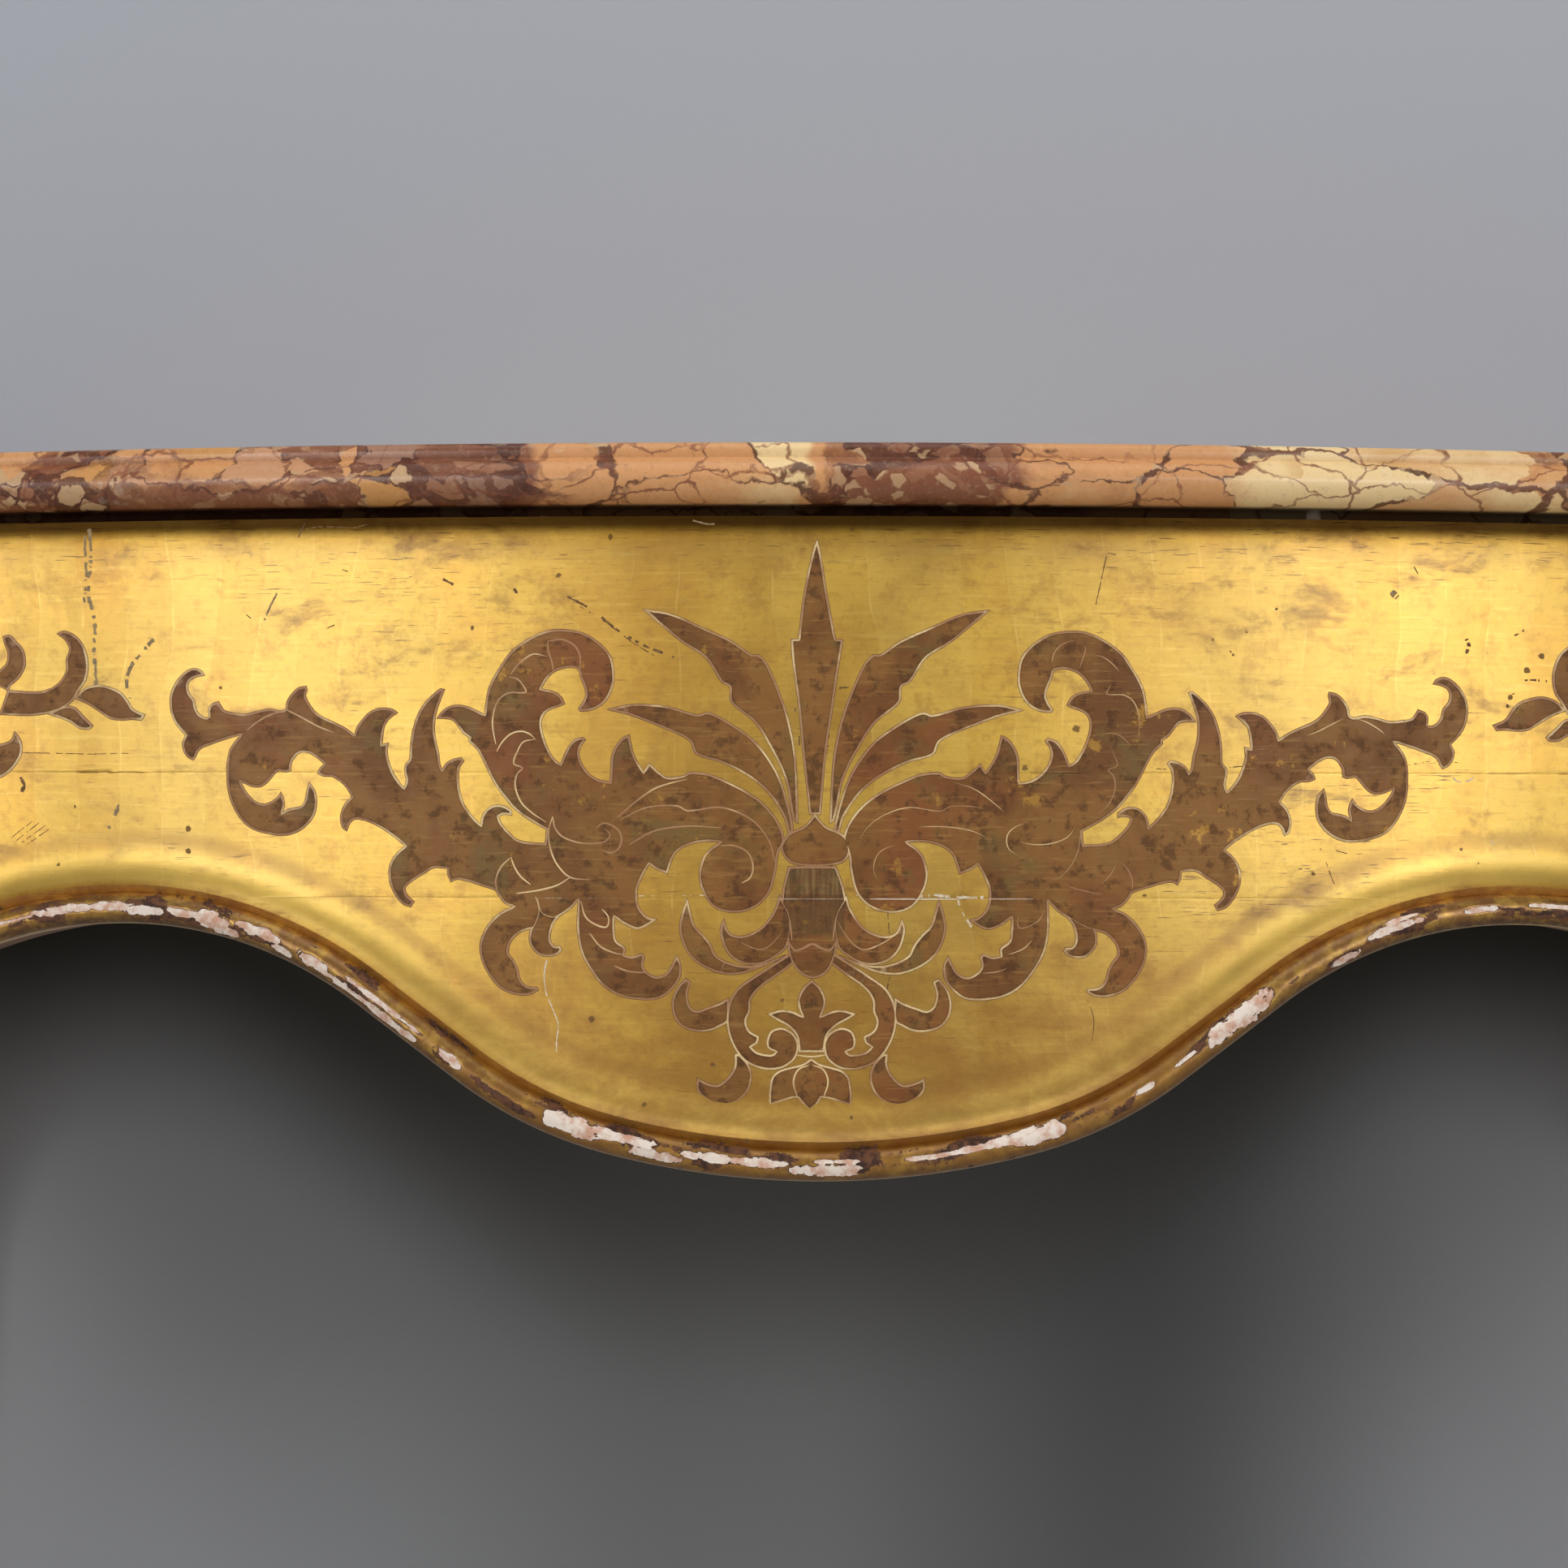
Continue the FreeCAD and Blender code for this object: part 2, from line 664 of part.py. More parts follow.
def build():
    """Every piece of the table, by the name of its node."""
    pieces = {}
    upper_line = frame_top - upper_glue_line
    lower_line = frame_top - lower_glue_line
    mortises = {}
    pegs = {}

    def joint(board, face, hand, joint_distance, low, high, thickness, board_thick, leg, peg_node, heights):
        """Adds a tenon to a board, and keeps its mortise for the leg and its pegs for their node."""
        low, high = low + tenon_shoulder, high - tenon_shoulder
        arguments = (face, hand, joint_distance, thickness, board_thick, low, high)
        mortises.setdefault(leg, []).append(tenon_box(*arguments, tenon_clearance))
        board = board.fuse(tenon_box(*arguments, 0)).removeSplitter()
        for share in heights:
            height = low + share * (high - low)
            hole = peg(face, hand, joint_distance, height, peg_radius + peg_clearance, board_thick)
            board = board.cut(hole)
            mortises[leg].append(hole)
            pegs.setdefault(peg_node, []).append(
                peg(face, hand, joint_distance, height, peg_radius, board_thick)
            )
        return board

    # Front apron, in three boards
    blank = apron_blank(front_face, front_outline, front_joint)
    end_low = front_outline.height(front_joint, 0)
    for name, low, high, tenon_low in (
        ("front_apron_upper_board", upper_line, frame_top, upper_line),
        ("front_apron_middle_board", lower_line, upper_line, lower_line),
        ("front_apron_lower_board", 0.0, lower_line, end_low + border_width),
    ):
        board = level_slice(blank, low, high)
        for hand, leg in ((1, "front_right_leg"), (-1, "front_left_leg")):
            board = joint(
                board, front_face, hand, front_joint, tenon_low, high,
                tenon_thickness, board_thickness, leg, "front_tenon_pegs", front_peg_shares,
            )
        pieces[name] = board

    # Side aprons, in two boards each
    for hand, side_name in ((1, "right"), (-1, "left")):
        face = side_face(hand)
        blank = apron_blank(face, side_outline, side_joint)
        end_low = side_outline.height(side_joint, 0)
        for name, low, high, tenon_low in (
            ("upper_board", upper_line, frame_top, upper_line),
            ("lower_board", 0.0, upper_line, end_low + border_width),
        ):
            board = level_slice(blank, low, high)
            for end, leg in ((-1, f"front_{side_name}_leg"), (1, f"rear_{side_name}_leg")):
                board = joint(
                    board, face, end, side_joint, tenon_low, high,
                    tenon_thickness, board_thickness, leg, f"{side_name}_tenon_pegs", side_peg_shares,
                )
            pieces[f"{side_name}_apron_{name}"] = board

    # Back rail, flush with the backs of the rear posts
    back_plan = lay_out([(corner_x, 0.0)])
    back_face = Face(back_plan, Vector(0, back_y, 0), Vector(-1, 0, 0), Vector(0, 1, 0))
    rail_joint = corner_x - post_side
    rail_low = frame_top - rail_height
    rail = box_between(
        back_face.at(-rail_joint, 0, rail_low), back_face.at(rail_joint, -rail_thickness, frame_top)
    )
    for hand, leg in ((-1, "rear_right_leg"), (1, "rear_left_leg")):
        rail = joint(
            rail, back_face, hand, rail_joint, rail_low, frame_top,
            rail_tenon_thickness, rail_thickness, leg, "back_rail_pegs", rail_peg_shares,
        )

    # Cross bearers, housed in the front apron's upper board and in the back rail
    front_board = pieces["front_apron_upper_board"]
    for hand, side_name in ((1, "right"), (-1, "left")):
        outer = hand * (bearer_offset + bearer_width / 2)
        inner = hand * (bearer_offset - bearer_width / 2)
        front_end = front_face.at(inner, bearer_housing - board_thickness, frame_top).y
        bearer = box_between(
            Vector(inner, front_end, frame_top - bearer_thickness),
            Vector(outer, back_y - rail_thickness + bearer_housing, frame_top),
        )
        front_board = front_board.cut(bearer)
        rail = rail.cut(bearer)
        pieces[f"{side_name}_cross_bearer"] = bearer
    pieces["front_apron_upper_board"] = front_board
    pieces["back_rail"] = rail

    # Battens glued across the joints, behind the front apron
    batten_high = frame_top - batten_end_gap
    for name, place in (("left", -batten_offset), ("middle", 0.0), ("right", batten_offset)):
        edge = abs(place) + batten_width / 2
        batten_low = front_outline.height(edge, 0) + batten_end_gap
        pieces[f"{name}_batten"] = plan_block(
            front_face, place - batten_width / 2, place + batten_width / 2,
            -board_thickness - glue_gap, -board_thickness - glue_gap - batten_thickness,
            batten_low, batten_high,
        )

    # Legs and foot blocks
    for front, end_name in ((True, "front"), (False, "rear")):
        for hand, side_name in ((1, "right"), (-1, "left")):
            leg = Leg(hand, front)
            name = f"{end_name}_{side_name}_leg"
            solid = leg.solid()
            for hollow in mortises[name]:
                solid = solid.cut(hollow)
            pieces[name] = solid
            pieces[f"{end_name}_{side_name}_foot_block"] = leg.foot_block()

    for name, group in pegs.items():
        pieces[name] = Part.makeCompound(group)
    pieces["marble_slab"] = marble_slab()
    return pieces


os.makedirs("parts", exist_ok=True)
for node, shape in build().items():
    print(node, "valid", shape.isValid(), "solids", len(shape.Solids), "litres", round(shape.Volume / 1e6, 3))
    shape.exportStep(f"parts/{node}.step")
print("slab", round(2 * slab_half_width, 1), "by", round(slab_depth, 1), "high", table_height)
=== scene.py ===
# %% [markdown]
# # Dressing a marble-top console table
# The CAD part gives the size and place of every board. This lesson rebuilds the pieces that show, with
# the carving, inlay, gilding and stone that a plain solid can't carry, and keeps the solids that are
# already right. Everything is in metres, with +Z up and the front towards -Y.

import json
import math
from contextlib import contextmanager

import bmesh
import bpy
import numpy as np
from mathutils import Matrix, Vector
from mathutils.geometry import delaunay_2d_cdt

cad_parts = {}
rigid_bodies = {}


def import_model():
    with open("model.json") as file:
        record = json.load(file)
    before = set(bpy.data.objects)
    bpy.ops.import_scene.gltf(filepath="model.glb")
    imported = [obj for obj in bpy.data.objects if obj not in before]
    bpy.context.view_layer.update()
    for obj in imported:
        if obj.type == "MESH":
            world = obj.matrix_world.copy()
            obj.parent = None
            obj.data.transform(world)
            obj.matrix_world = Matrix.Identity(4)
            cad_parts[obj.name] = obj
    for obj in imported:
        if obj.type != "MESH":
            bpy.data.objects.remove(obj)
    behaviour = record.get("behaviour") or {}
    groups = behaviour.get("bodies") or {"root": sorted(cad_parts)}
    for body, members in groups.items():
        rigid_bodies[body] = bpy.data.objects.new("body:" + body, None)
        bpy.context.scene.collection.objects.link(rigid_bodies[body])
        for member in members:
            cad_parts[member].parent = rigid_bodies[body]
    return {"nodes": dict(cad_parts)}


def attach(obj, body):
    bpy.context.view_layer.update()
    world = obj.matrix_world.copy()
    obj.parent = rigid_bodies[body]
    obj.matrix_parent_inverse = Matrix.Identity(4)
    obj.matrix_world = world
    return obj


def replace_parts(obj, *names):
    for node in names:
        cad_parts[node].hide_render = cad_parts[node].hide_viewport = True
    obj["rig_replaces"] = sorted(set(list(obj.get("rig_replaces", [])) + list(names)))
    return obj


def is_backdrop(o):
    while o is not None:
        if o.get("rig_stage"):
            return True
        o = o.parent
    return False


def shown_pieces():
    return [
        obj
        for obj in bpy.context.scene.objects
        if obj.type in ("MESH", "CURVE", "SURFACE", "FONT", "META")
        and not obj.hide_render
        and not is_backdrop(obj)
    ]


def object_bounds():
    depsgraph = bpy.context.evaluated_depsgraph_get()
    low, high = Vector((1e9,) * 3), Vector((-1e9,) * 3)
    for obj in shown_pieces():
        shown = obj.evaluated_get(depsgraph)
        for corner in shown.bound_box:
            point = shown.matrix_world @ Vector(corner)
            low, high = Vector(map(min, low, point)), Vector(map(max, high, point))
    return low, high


for leftover in list(bpy.data.objects):
    bpy.data.objects.remove(leftover)
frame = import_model()
cad_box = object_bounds()
nodes = frame["nodes"]
print("frame:", len(nodes), "nodes in", cad_box)


def add_object(name, data):
    """A new object in the scene."""
    made = bpy.data.objects.new(name, data)
    bpy.context.scene.collection.objects.link(made)
    return made


# %% [markdown]
# ## The plan and the outline
# The front bows out, then hollows back to the posts. The lower edge drops in the middle and rises to two
# arches. Both are chains of arcs, so one pair of small functions follows either of them. The same
# functions place the boards, the carving, the inlay and the stone, so they meet without measuring.

# %% Sizes
frame_top = 0.868
table_height = 0.900
front_half_length = 0.590
side_half_length = 0.235
front_overhang = 0.015
back_overhang = 0.010
post_side = 0.078
post_corner_radius = 0.024
board_thickness = 0.034
upper_glue_line = frame_top - 0.114
lower_glue_line = frame_top - 0.170
leg_inner_edge = 0.056
foot_width = 0.054
foot_block_height = 0.016
drop_depth = 0.295
side_arch_depth = 0.210
roll_radius = 0.0072
roll_forward = 0.0095
roll_open = math.radians(76.0)
quirk_width = 0.0036
quirk_depth = 0.0022
hollow_width = 0.021
groove_half_width = 0.0006
quarter = math.pi / 2


# %% Following a chain of arcs
def walk(u, v, heading, curve, length):
    """Follow a stretch of that curvature, positive to the left."""
    if not curve:
        return u + length * np.cos(heading), v + length * np.sin(heading), heading + 0 * length
    turned = heading + curve * length
    return (
        u + (np.sin(turned) - np.sin(heading)) / curve,
        v - (np.cos(turned) - np.cos(heading)) / curve,
        turned,
    )


def lay_out(pieces):
    """Lay (length, curvature) stretches end to end from the origin, along +u."""
    u = v = heading = begun = 0.0
    laid = []
    for length, curve in pieces:
        laid.append((begun, length, curve, u, v, heading))
        u, v, heading = walk(u, v, heading, curve, length)
        begun += length
    return laid


def follow(laid, distance):
    """Points and headings at those distances along a laid line."""
    distance = np.asarray(distance, float)
    u, v, heading = (np.zeros(distance.shape) for _ in range(3))
    for begun, _, curve, *start in laid:
        here = distance >= begun
        found = walk(*start, curve, distance - begun)
        u, v, heading = (np.where(here, new, old) for new, old in zip(found, (u, v, heading)))
    return u, v, heading


def serpentine(bow_radius, bow_share, hollow_radius, half_length):
    """Half a serpentine face in plan: the hollow turns back as far as the bow turned."""
    bow = bow_share * half_length
    hollow = bow * hollow_radius / bow_radius
    return lay_out(
        [(bow, 1 / bow_radius), (hollow, -1 / hollow_radius), (half_length - bow - hollow, 0.0)]
    )


front_plan = serpentine(bow_radius=1.585, bow_share=0.585, hollow_radius=0.600, half_length=front_half_length)
side_plan = serpentine(bow_radius=0.600, bow_share=0.383, hollow_radius=0.430, half_length=side_half_length)
corner_x, front_setback, _ = (float(value) for value in follow(front_plan, front_half_length))
side_reach, side_setback, _ = (float(value) for value in follow(side_plan, side_half_length))
slab_depth = front_overhang + front_setback + 2 * side_reach + back_overhang
front_middle_y = front_overhang - slab_depth / 2
front_corner_y = front_middle_y + front_setback
back_y = front_corner_y + 2 * side_reach
side_middle_y = (front_corner_y + back_y) / 2
print("corner x", round(corner_x, 4), "front y", round(front_corner_y, 4), "back y", round(back_y, 4))


# %% Outer faces
class Face:
    """An outer face. A place on it is a distance from its middle, how far forward, and a height."""

    def __init__(self, plan, middle, along, outward):
        self.plan = plan
        self.middle, self.along, self.outward = (np.array(v, float) for v in (middle, along, outward))

    def at(self, distance, forward, height):
        distance, forward, height = np.broadcast_arrays(
            *(np.asarray(value, float) for value in (distance, forward, height))
        )
        u, v, heading = follow(self.plan, np.abs(distance))
        u = np.copysign(u + forward * np.sin(heading), distance)
        v = v - forward * np.cos(heading)
        points = self.middle + u[..., None] * self.along - v[..., None] * self.outward
        points[..., 2] = height
        return points


front_face = Face(front_plan, (0, front_middle_y, 0), (1, 0, 0), (0, -1, 0))
side_faces = {
    hand: Face(side_plan, (hand * (corner_x + side_setback), side_middle_y, 0), (0, 1, 0), (hand, 0, 0))
    for hand in (1, -1)
}


# %% Lower outlines
class Outline:
    """The lower outline of an apron, with the lines that run parallel above it."""

    def __init__(self, pieces, start_height):
        self.laid = lay_out(pieces)
        self.start_height = start_height

    def parallel(self, stretch, gap):
        """Ends, bend, centre and radius of a stretch moved up by gap, square to itself."""
        _, length, curve, u, v, heading = stretch
        end_u, end_v, end_heading = walk(u, v, heading, curve, length)
        first = (u - gap * math.sin(heading), v + gap * math.cos(heading))
        last = (end_u - gap * math.sin(end_heading), end_v + gap * math.cos(end_heading))
        if not curve:
            return first, last, 0, None, None
        centre = (u - math.sin(heading) / curve, v + math.cos(heading) / curve)
        return first, last, math.copysign(1, curve), centre, 1 / abs(curve) - math.copysign(1, curve) * gap

    def height(self, distance, gap):
        """Heights of the lines gap above the outline, at those distances from the middle."""
        distance, gap = np.broadcast_arrays(np.abs(np.asarray(distance, float)), np.asarray(gap, float))
        height = np.zeros(distance.shape)
        for stretch in reversed(self.laid):
            first, last, bend, centre, radius = self.parallel(stretch, gap)
            if bend:
                lift = np.sqrt(np.maximum(radius**2 - (distance - centre[0]) ** 2, 0))
                found = centre[1] - bend * lift
            else:
                found = first[1] + (distance - first[0]) / (last[0] - first[0]) * (last[1] - first[1])
            height = np.where(distance <= last[0] + 1e-9, found, height)
        return height + self.start_height

    def springing(self):
        """Height at which the last arch turns upright."""
        return self.start_height + self.parallel(self.laid[-1], 0)[3][1]

    def reach(self, height, gap):
        """Distance from the middle at which the last arch's parallel line has that height."""
        _, _, _, centre, radius = self.parallel(self.laid[-1], gap)
        rise = max(height - self.start_height - centre[1], 0)
        return centre[0] + math.sqrt(max(radius**2 - rise**2, 0))


def turn(radius, degrees):
    """A round stretch that turns left by that angle, or right if the angle is negative."""
    return abs(math.radians(degrees)) * radius, math.copysign(1 / radius, degrees)


# From the middle: the round of the drop, its shoulder, the straight slope and the inside of the arch
drop_angle, slope_angle = 14.0, 36.5
drop_to_apex = [
    turn(0.6525 * front_half_length, drop_angle),
    turn(0.3305 * front_half_length, slope_angle - drop_angle),
    (0.0949 * front_half_length, 0.0),
    turn(0.305 * front_half_length, -slope_angle),
]
arch_apex = lay_out([*drop_to_apex, (0.0, 0.0)])[-1][3]
arch_radius = front_half_length - leg_inner_edge - arch_apex
front_outline = Outline([*drop_to_apex, turn(arch_radius, -90.0)], frame_top - drop_depth)
side_outline = Outline([turn(side_half_length - leg_inner_edge, -90.0)], frame_top - side_arch_depth)
front_joint = front_half_length - post_side
side_joint = side_half_length - post_side
print("springings", round(front_outline.springing(), 4), round(side_outline.springing(), 4))

# %% [markdown]
# ## The camera
# The photograph looks square at the middle of the apron from 1.3 m, with a long lens, so the sides of the
# bow hardly show and the legs stay outside. A level camera with a very slight roll gives that view. It
# comes early because the inlay is placed by casting its drawing from this camera onto the bowed face.

# %% Camera
picture_side = 1932
focal_pixels = 3609.0
sensor = 36.0
camera_roll = 0.0012
camera_distance = 1.300
camera_place = np.array([-0.016, front_middle_y - camera_distance, 0.749])
metres_per_pixel = 0.00036
camera_data = bpy.data.cameras.new("photographer")
camera_data.sensor_width = sensor
camera_data.lens = sensor * focal_pixels / picture_side
camera_data.clip_end = 60
camera = add_object("photographer", camera_data)
camera.location = camera_place
camera.rotation_euler = (quarter, -camera_roll, 0)
bpy.context.scene.camera = camera
print("lens", round(camera_data.lens, 2), "mm")

# %% [markdown]
# ## Small helpers
# Old gilding is never even: it is rubbed, chipped and cracked by chance. A cheap value noise in numpy,
# with a fixed seed, makes that chance the same on every run. Meshes are made from arrays of points laid
# out in rows, which keeps each piece a short description of its section.


# %% Noise and meshes
def cloud(points, size, seed=0):
    """Smooth noise from 0 to 1 at points, with lumps about that size."""
    table = np.random.default_rng(seed).random(4096)
    scaled = np.asarray(points, float) / size
    cell = np.floor(scaled).astype(np.int64)
    share = scaled - cell
    share = share * share * (3 - 2 * share)
    total = 0
    for corner in np.ndindex(2, 2, 2):
        index = cell + corner
        key = (index[..., 0] * 73856093) ^ (index[..., 1] * 19349663) ^ (index[..., 2] * 83492791)
        weight = np.prod(np.where(corner, share, 1 - share), axis=-1)
        total = total + weight * table[key & 4095]
    return total


def fractal(points, size, seed=0, octaves=4):
    """Noise with finer and finer detail, still from 0 to 1."""
    parts = [cloud(points, size / 2**k, seed + k) / 2**k for k in range(octaves)]
    return sum(parts) / sum(1 / 2**k for k in range(octaves))


def step(value, low, high):
    """0 below low, 1 above high and smooth between."""
    share = np.clip((value - low) / (high - low), 0, 1)
    return share * share * (3 - 2 * share)


def ring_faces(rows, columns, closed=True):
    """Quads between neighbouring columns of rows, as indices into column-major points."""
    last = rows if closed else rows - 1
    column, row = np.meshgrid(np.arange(columns - 1), np.arange(last), indexing="ij")
    after = (row + 1) % rows
    quads = np.stack(
        [column * rows + row, column * rows + after, (column + 1) * rows + after, (column + 1) * rows + row],
        axis=-1,
    )
    return quads.reshape(-1, 4)


def store(mesh, key, value):
    """Keep a number or a vector for each point of a mesh."""
    kind, field = ("FLOAT_VECTOR", "vector") if np.ndim(value) == 2 else ("FLOAT", "value")
    layer = mesh.attributes.new(key, kind, "POINT")
    layer.data.foreach_set(field, np.ravel(value).astype(np.float32))


@contextmanager
def editing(mesh):
    """A mesh opened for cuts, written back at the end."""
    work = bmesh.new()
    work.from_mesh(mesh)
    yield work
    work.to_mesh(mesh)
    work.free()


def new_piece(name, points, faces, values, smooth_angle=40.0):
    """An object from points and faces, with point attributes and sharp edges above an angle."""
    mesh = bpy.data.meshes.new(name)
    mesh.from_pydata(np.asarray(points, float).reshape(-1, 3), [], [list(map(int, f)) for f in faces])
    for key, value in values.items():
        store(mesh, key, value)
    mesh.update()
    mesh.validate()
    piece = add_object(name, mesh)
    finish_mesh(piece, smooth_angle)
    return piece


def finish_mesh(piece, smooth_angle=40.0):
    """Turn faces outwards, shade smooth and keep edges above an angle sharp."""
    with editing(piece.data) as work:
        bmesh.ops.recalc_face_normals(work, faces=work.faces)
    piece.data.shade_smooth()
    piece.data.set_sharp_from_angle(angle=math.radians(smooth_angle))


def slice_at(work, point, normal, **settings):
    """Cut every face along a plane. Returns what lies in the plane."""
    everything = work.verts[:] + work.edges[:] + work.faces[:]
    return bmesh.ops.bisect_plane(
        work, geom=everything, dist=1e-7, plane_co=point, plane_no=normal, **settings
    )["geom_cut"]


def cut_piece(work, point, normal):
    """Cut away what lies on the normal's side of a plane, and close the cut."""
    found = slice_at(work, point, normal, clear_outer=True)
    edges = [item for item in found if isinstance(item, bmesh.types.BMEdge)]
    bmesh.ops.holes_fill(work, edges=edges, sides=0)


def slice_round_lines(work, lines, offsets):
    """Level cuts beside each glue line."""
    for line in lines:
        for offset in offsets:
            slice_at(work, (0, 0, line + offset), (0, 0, 1))


def cubic(poles, share):
    """Points of a cubic curve at those shares. poles is four points."""
    a, b, c, d = (np.asarray(pole, float) for pole in poles)
    t = np.asarray(share, float)[:, None]
    return a * (1 - t) ** 3 + 3 * b * t * (1 - t) ** 2 + 3 * c * t**2 * (1 - t) + d * t**3


def bridge(a, start, b, end, t):
    """A place on the cubic from a to b that leaves at slope start and comes in at slope end."""
    leaving = a * (2 * t**3 - 3 * t**2 + 1) + start * (t**3 - 2 * t**2 + t)
    return leaving + b * (3 * t**2 - 2 * t**3) + end * (t**3 - t**2)


def hand_made(points):
    """How far a flat worked by hand stands forward of a true one, in metres."""
    return (fractal(points, 0.05, 3) - 0.5) * 0.0005


# %% [markdown]
# ## The carved border
# A lip rolls along the lower edge of the aprons and runs on down the legs: a half-round, a fine step
# called a quirk, and a wide hollow that fades into the flat. It could be swept along the outline as one
# moulding, but on this table it is carved from the boards, so it is one more part of their section.

# %% Border profile
roll_middle = roll_forward - roll_radius
quirk_start = (
    roll_radius + roll_radius * math.sin(roll_open),
    roll_middle + roll_radius * math.cos(roll_open),
)
quirk_end = (quirk_start[0] + quirk_width, quirk_start[1] + quirk_depth)
border_width = quirk_end[0] + hollow_width


def border_profile(roll_rows, quirk_rows, hollow_rows):
    """(across, forward) rows of the border, from the flank's edge to the flat."""
    under = np.linspace(0, quarter, roll_rows, endpoint=False)
    over = np.linspace(0, roll_open, roll_rows, endpoint=False)
    lower = np.stack([roll_radius * (1 - np.cos(under)), roll_middle + roll_radius * np.sin(under)], 1)
    upper = np.stack([roll_radius * (1 + np.sin(over)), roll_middle + roll_radius * np.cos(over)], 1)
    share = np.linspace(0, 1, quirk_rows, endpoint=False)[:, None]
    quirk = np.array(quirk_start) * (1 - share) + np.array(quirk_end) * share
    poles = [
        quirk_end,
        (quirk_end[0] + 0.22 * hollow_width, quirk_end[1] * 0.25),
        (quirk_end[0] + 0.48 * hollow_width, 0),
        (border_width, 0),
    ]
    return np.concatenate([lower, upper, quirk, cubic(poles, np.linspace(0, 1, hollow_rows))])


print("border", round(border_width * 1000, 1), "mm wide")

# %% [markdown]
# ## Losses
# Hands and cloths have rubbed the lip for two centuries. Where the leaf is gone the dark clay called bole
# shows, and where that is gone too, the white gesso. The large losses follow the photograph, by where
# along the lip they lie; the rest come from noise. Each loss lowers the surface a little, and the same
# value goes to the finish as an attribute, so the dent and its colour always agree.


# %% Casting the drawing
def cast_to_front(x, y):
    """Distance from the middle and height where the picture's points fall on the front face."""
    right = np.asarray(x, float) - picture_side / 2
    down = np.asarray(y, float) - picture_side / 2
    down = down - camera_roll * right
    distance = np.linspace(-front_half_length, front_half_length, 2401)
    plan = front_face.at(distance, 0, 0) - camera_place
    found = np.interp(right / focal_pixels, plan[:, 0] / plan[:, 1], distance)
    depth = front_face.at(found, 0, 0)[..., 1] - camera_place[1]
    return found, camera_place[2] - down / focal_pixels * depth


# Losses of gesso on the lip: from x to x in the picture, then across and half width in millimetres
lip_losses = [
    (-140, 60, 7.5, 1.0), (50, 175, 8.0, 1.9), (165, 215, 6.5, 2.1), (212, 252, 7.4, 1.7),
    (250, 292, 7.0, 3.6), (268, 302, 3.6, 2.0), (298, 352, 7.8, 2.4), (340, 368, 4.2, 1.6),
    (374, 412, 6.2, 2.4), (398, 452, 4.4, 1.5), (428, 522, 8.0, 1.1), (458, 517, 4.2, 1.7),
    (545, 572, 7.2, 1.9), (672, 742, 8.2, 3.6), (732, 812, 9.2, 2.0), (778, 842, 4.9, 2.1),
    (838, 972, 8.0, 2.0), (975, 1062, 5.6, 2.4), (1000, 1062, 9.4, 0.9), (1112, 1178, 8.6, 1.1),
    (1182, 1228, 9.0, 1.5), (1212, 1268, 9.5, 2.0), (1248, 1306, 8.4, 3.6), (1392, 1420, 8.0, 1.2),
    (1442, 1470, 8.6, 1.0), (1484, 1562, 8.0, 4.2), (1634, 1668, 3.6, 1.7), (1678, 1747, 8.2, 1.6),
    (1700, 1740, 11.0, 1.0), (1796, 1838, 8.2, 1.4), (1868, 1990, 9.2, 1.0),
]


def photo_losses(distance, across, points):
    """How far the lip is lost at places seen in the picture: above 0.5 is bare gesso."""
    found = np.zeros(distance.shape)
    ragged = (fractal(points, 0.006, 11) - 0.5) * 1.5 + (cloud(points, 0.0022, 12) - 0.5) * 0.7
    for left, right, middle, half_width in lip_losses:
        ends, _ = cast_to_front((left, right), 0.0)
        centre, half_length = ends.mean(), (ends[1] - ends[0]) / 2
        along = np.abs(distance - centre) / half_length
        side = np.abs(across * 1000 - middle) / half_width
        found = np.maximum(found, 0.86 - 0.36 * (along**4 + side**2))
    return np.clip(found + ragged * 0.42 * (found > 0.02), 0, 1)


def worn(points, across, along, seed, scale=1.0):
    """Gesso and bole showing by chance on a carved border, both from 0 to 1."""
    lip = across * 1000 / scale
    crest = np.exp(-(((lip - 7.5) / 4.5) ** 2))
    shoulder = np.exp(-(((lip - 12.5) / 2.2) ** 2))
    patches = fractal(np.stack([along * 0.35, lip * 0.0028, 0 * lip], -1), 0.014, seed)
    bare = fractal(np.stack([along * 0.6, lip * 0.002, 0 * lip], -1), 0.010, seed + 20)
    drift = cloud(np.stack([along, 0 * lip, 0 * lip], -1), 0.09, seed + 40)
    gesso = patches + 0.22 * crest - 0.28 + 0.18 * (drift - 0.5)
    bole = bare + 0.20 * crest + 0.16 * shoulder - 0.12
    front = step(lip, -0.5, 1.5)
    return np.clip(gesso, 0, 1) * front * (crest > 0.12), np.clip(bole, 0, 1) * (crest + shoulder > 0.1)


# %% [markdown]
# ## The front apron
# The apron is three boards glued edge to edge, carved as one. It is made the same way: one closed mesh
# whose columns are upright sections, then cut along the two glue lines. Cutting again just above and
# below each line and pressing the middle edge in leaves the fine groove where old glue has opened.

# %% Sections of an apron
section_shares = {"flank": 7, "frieze": 72, "top": 5, "back": 26}


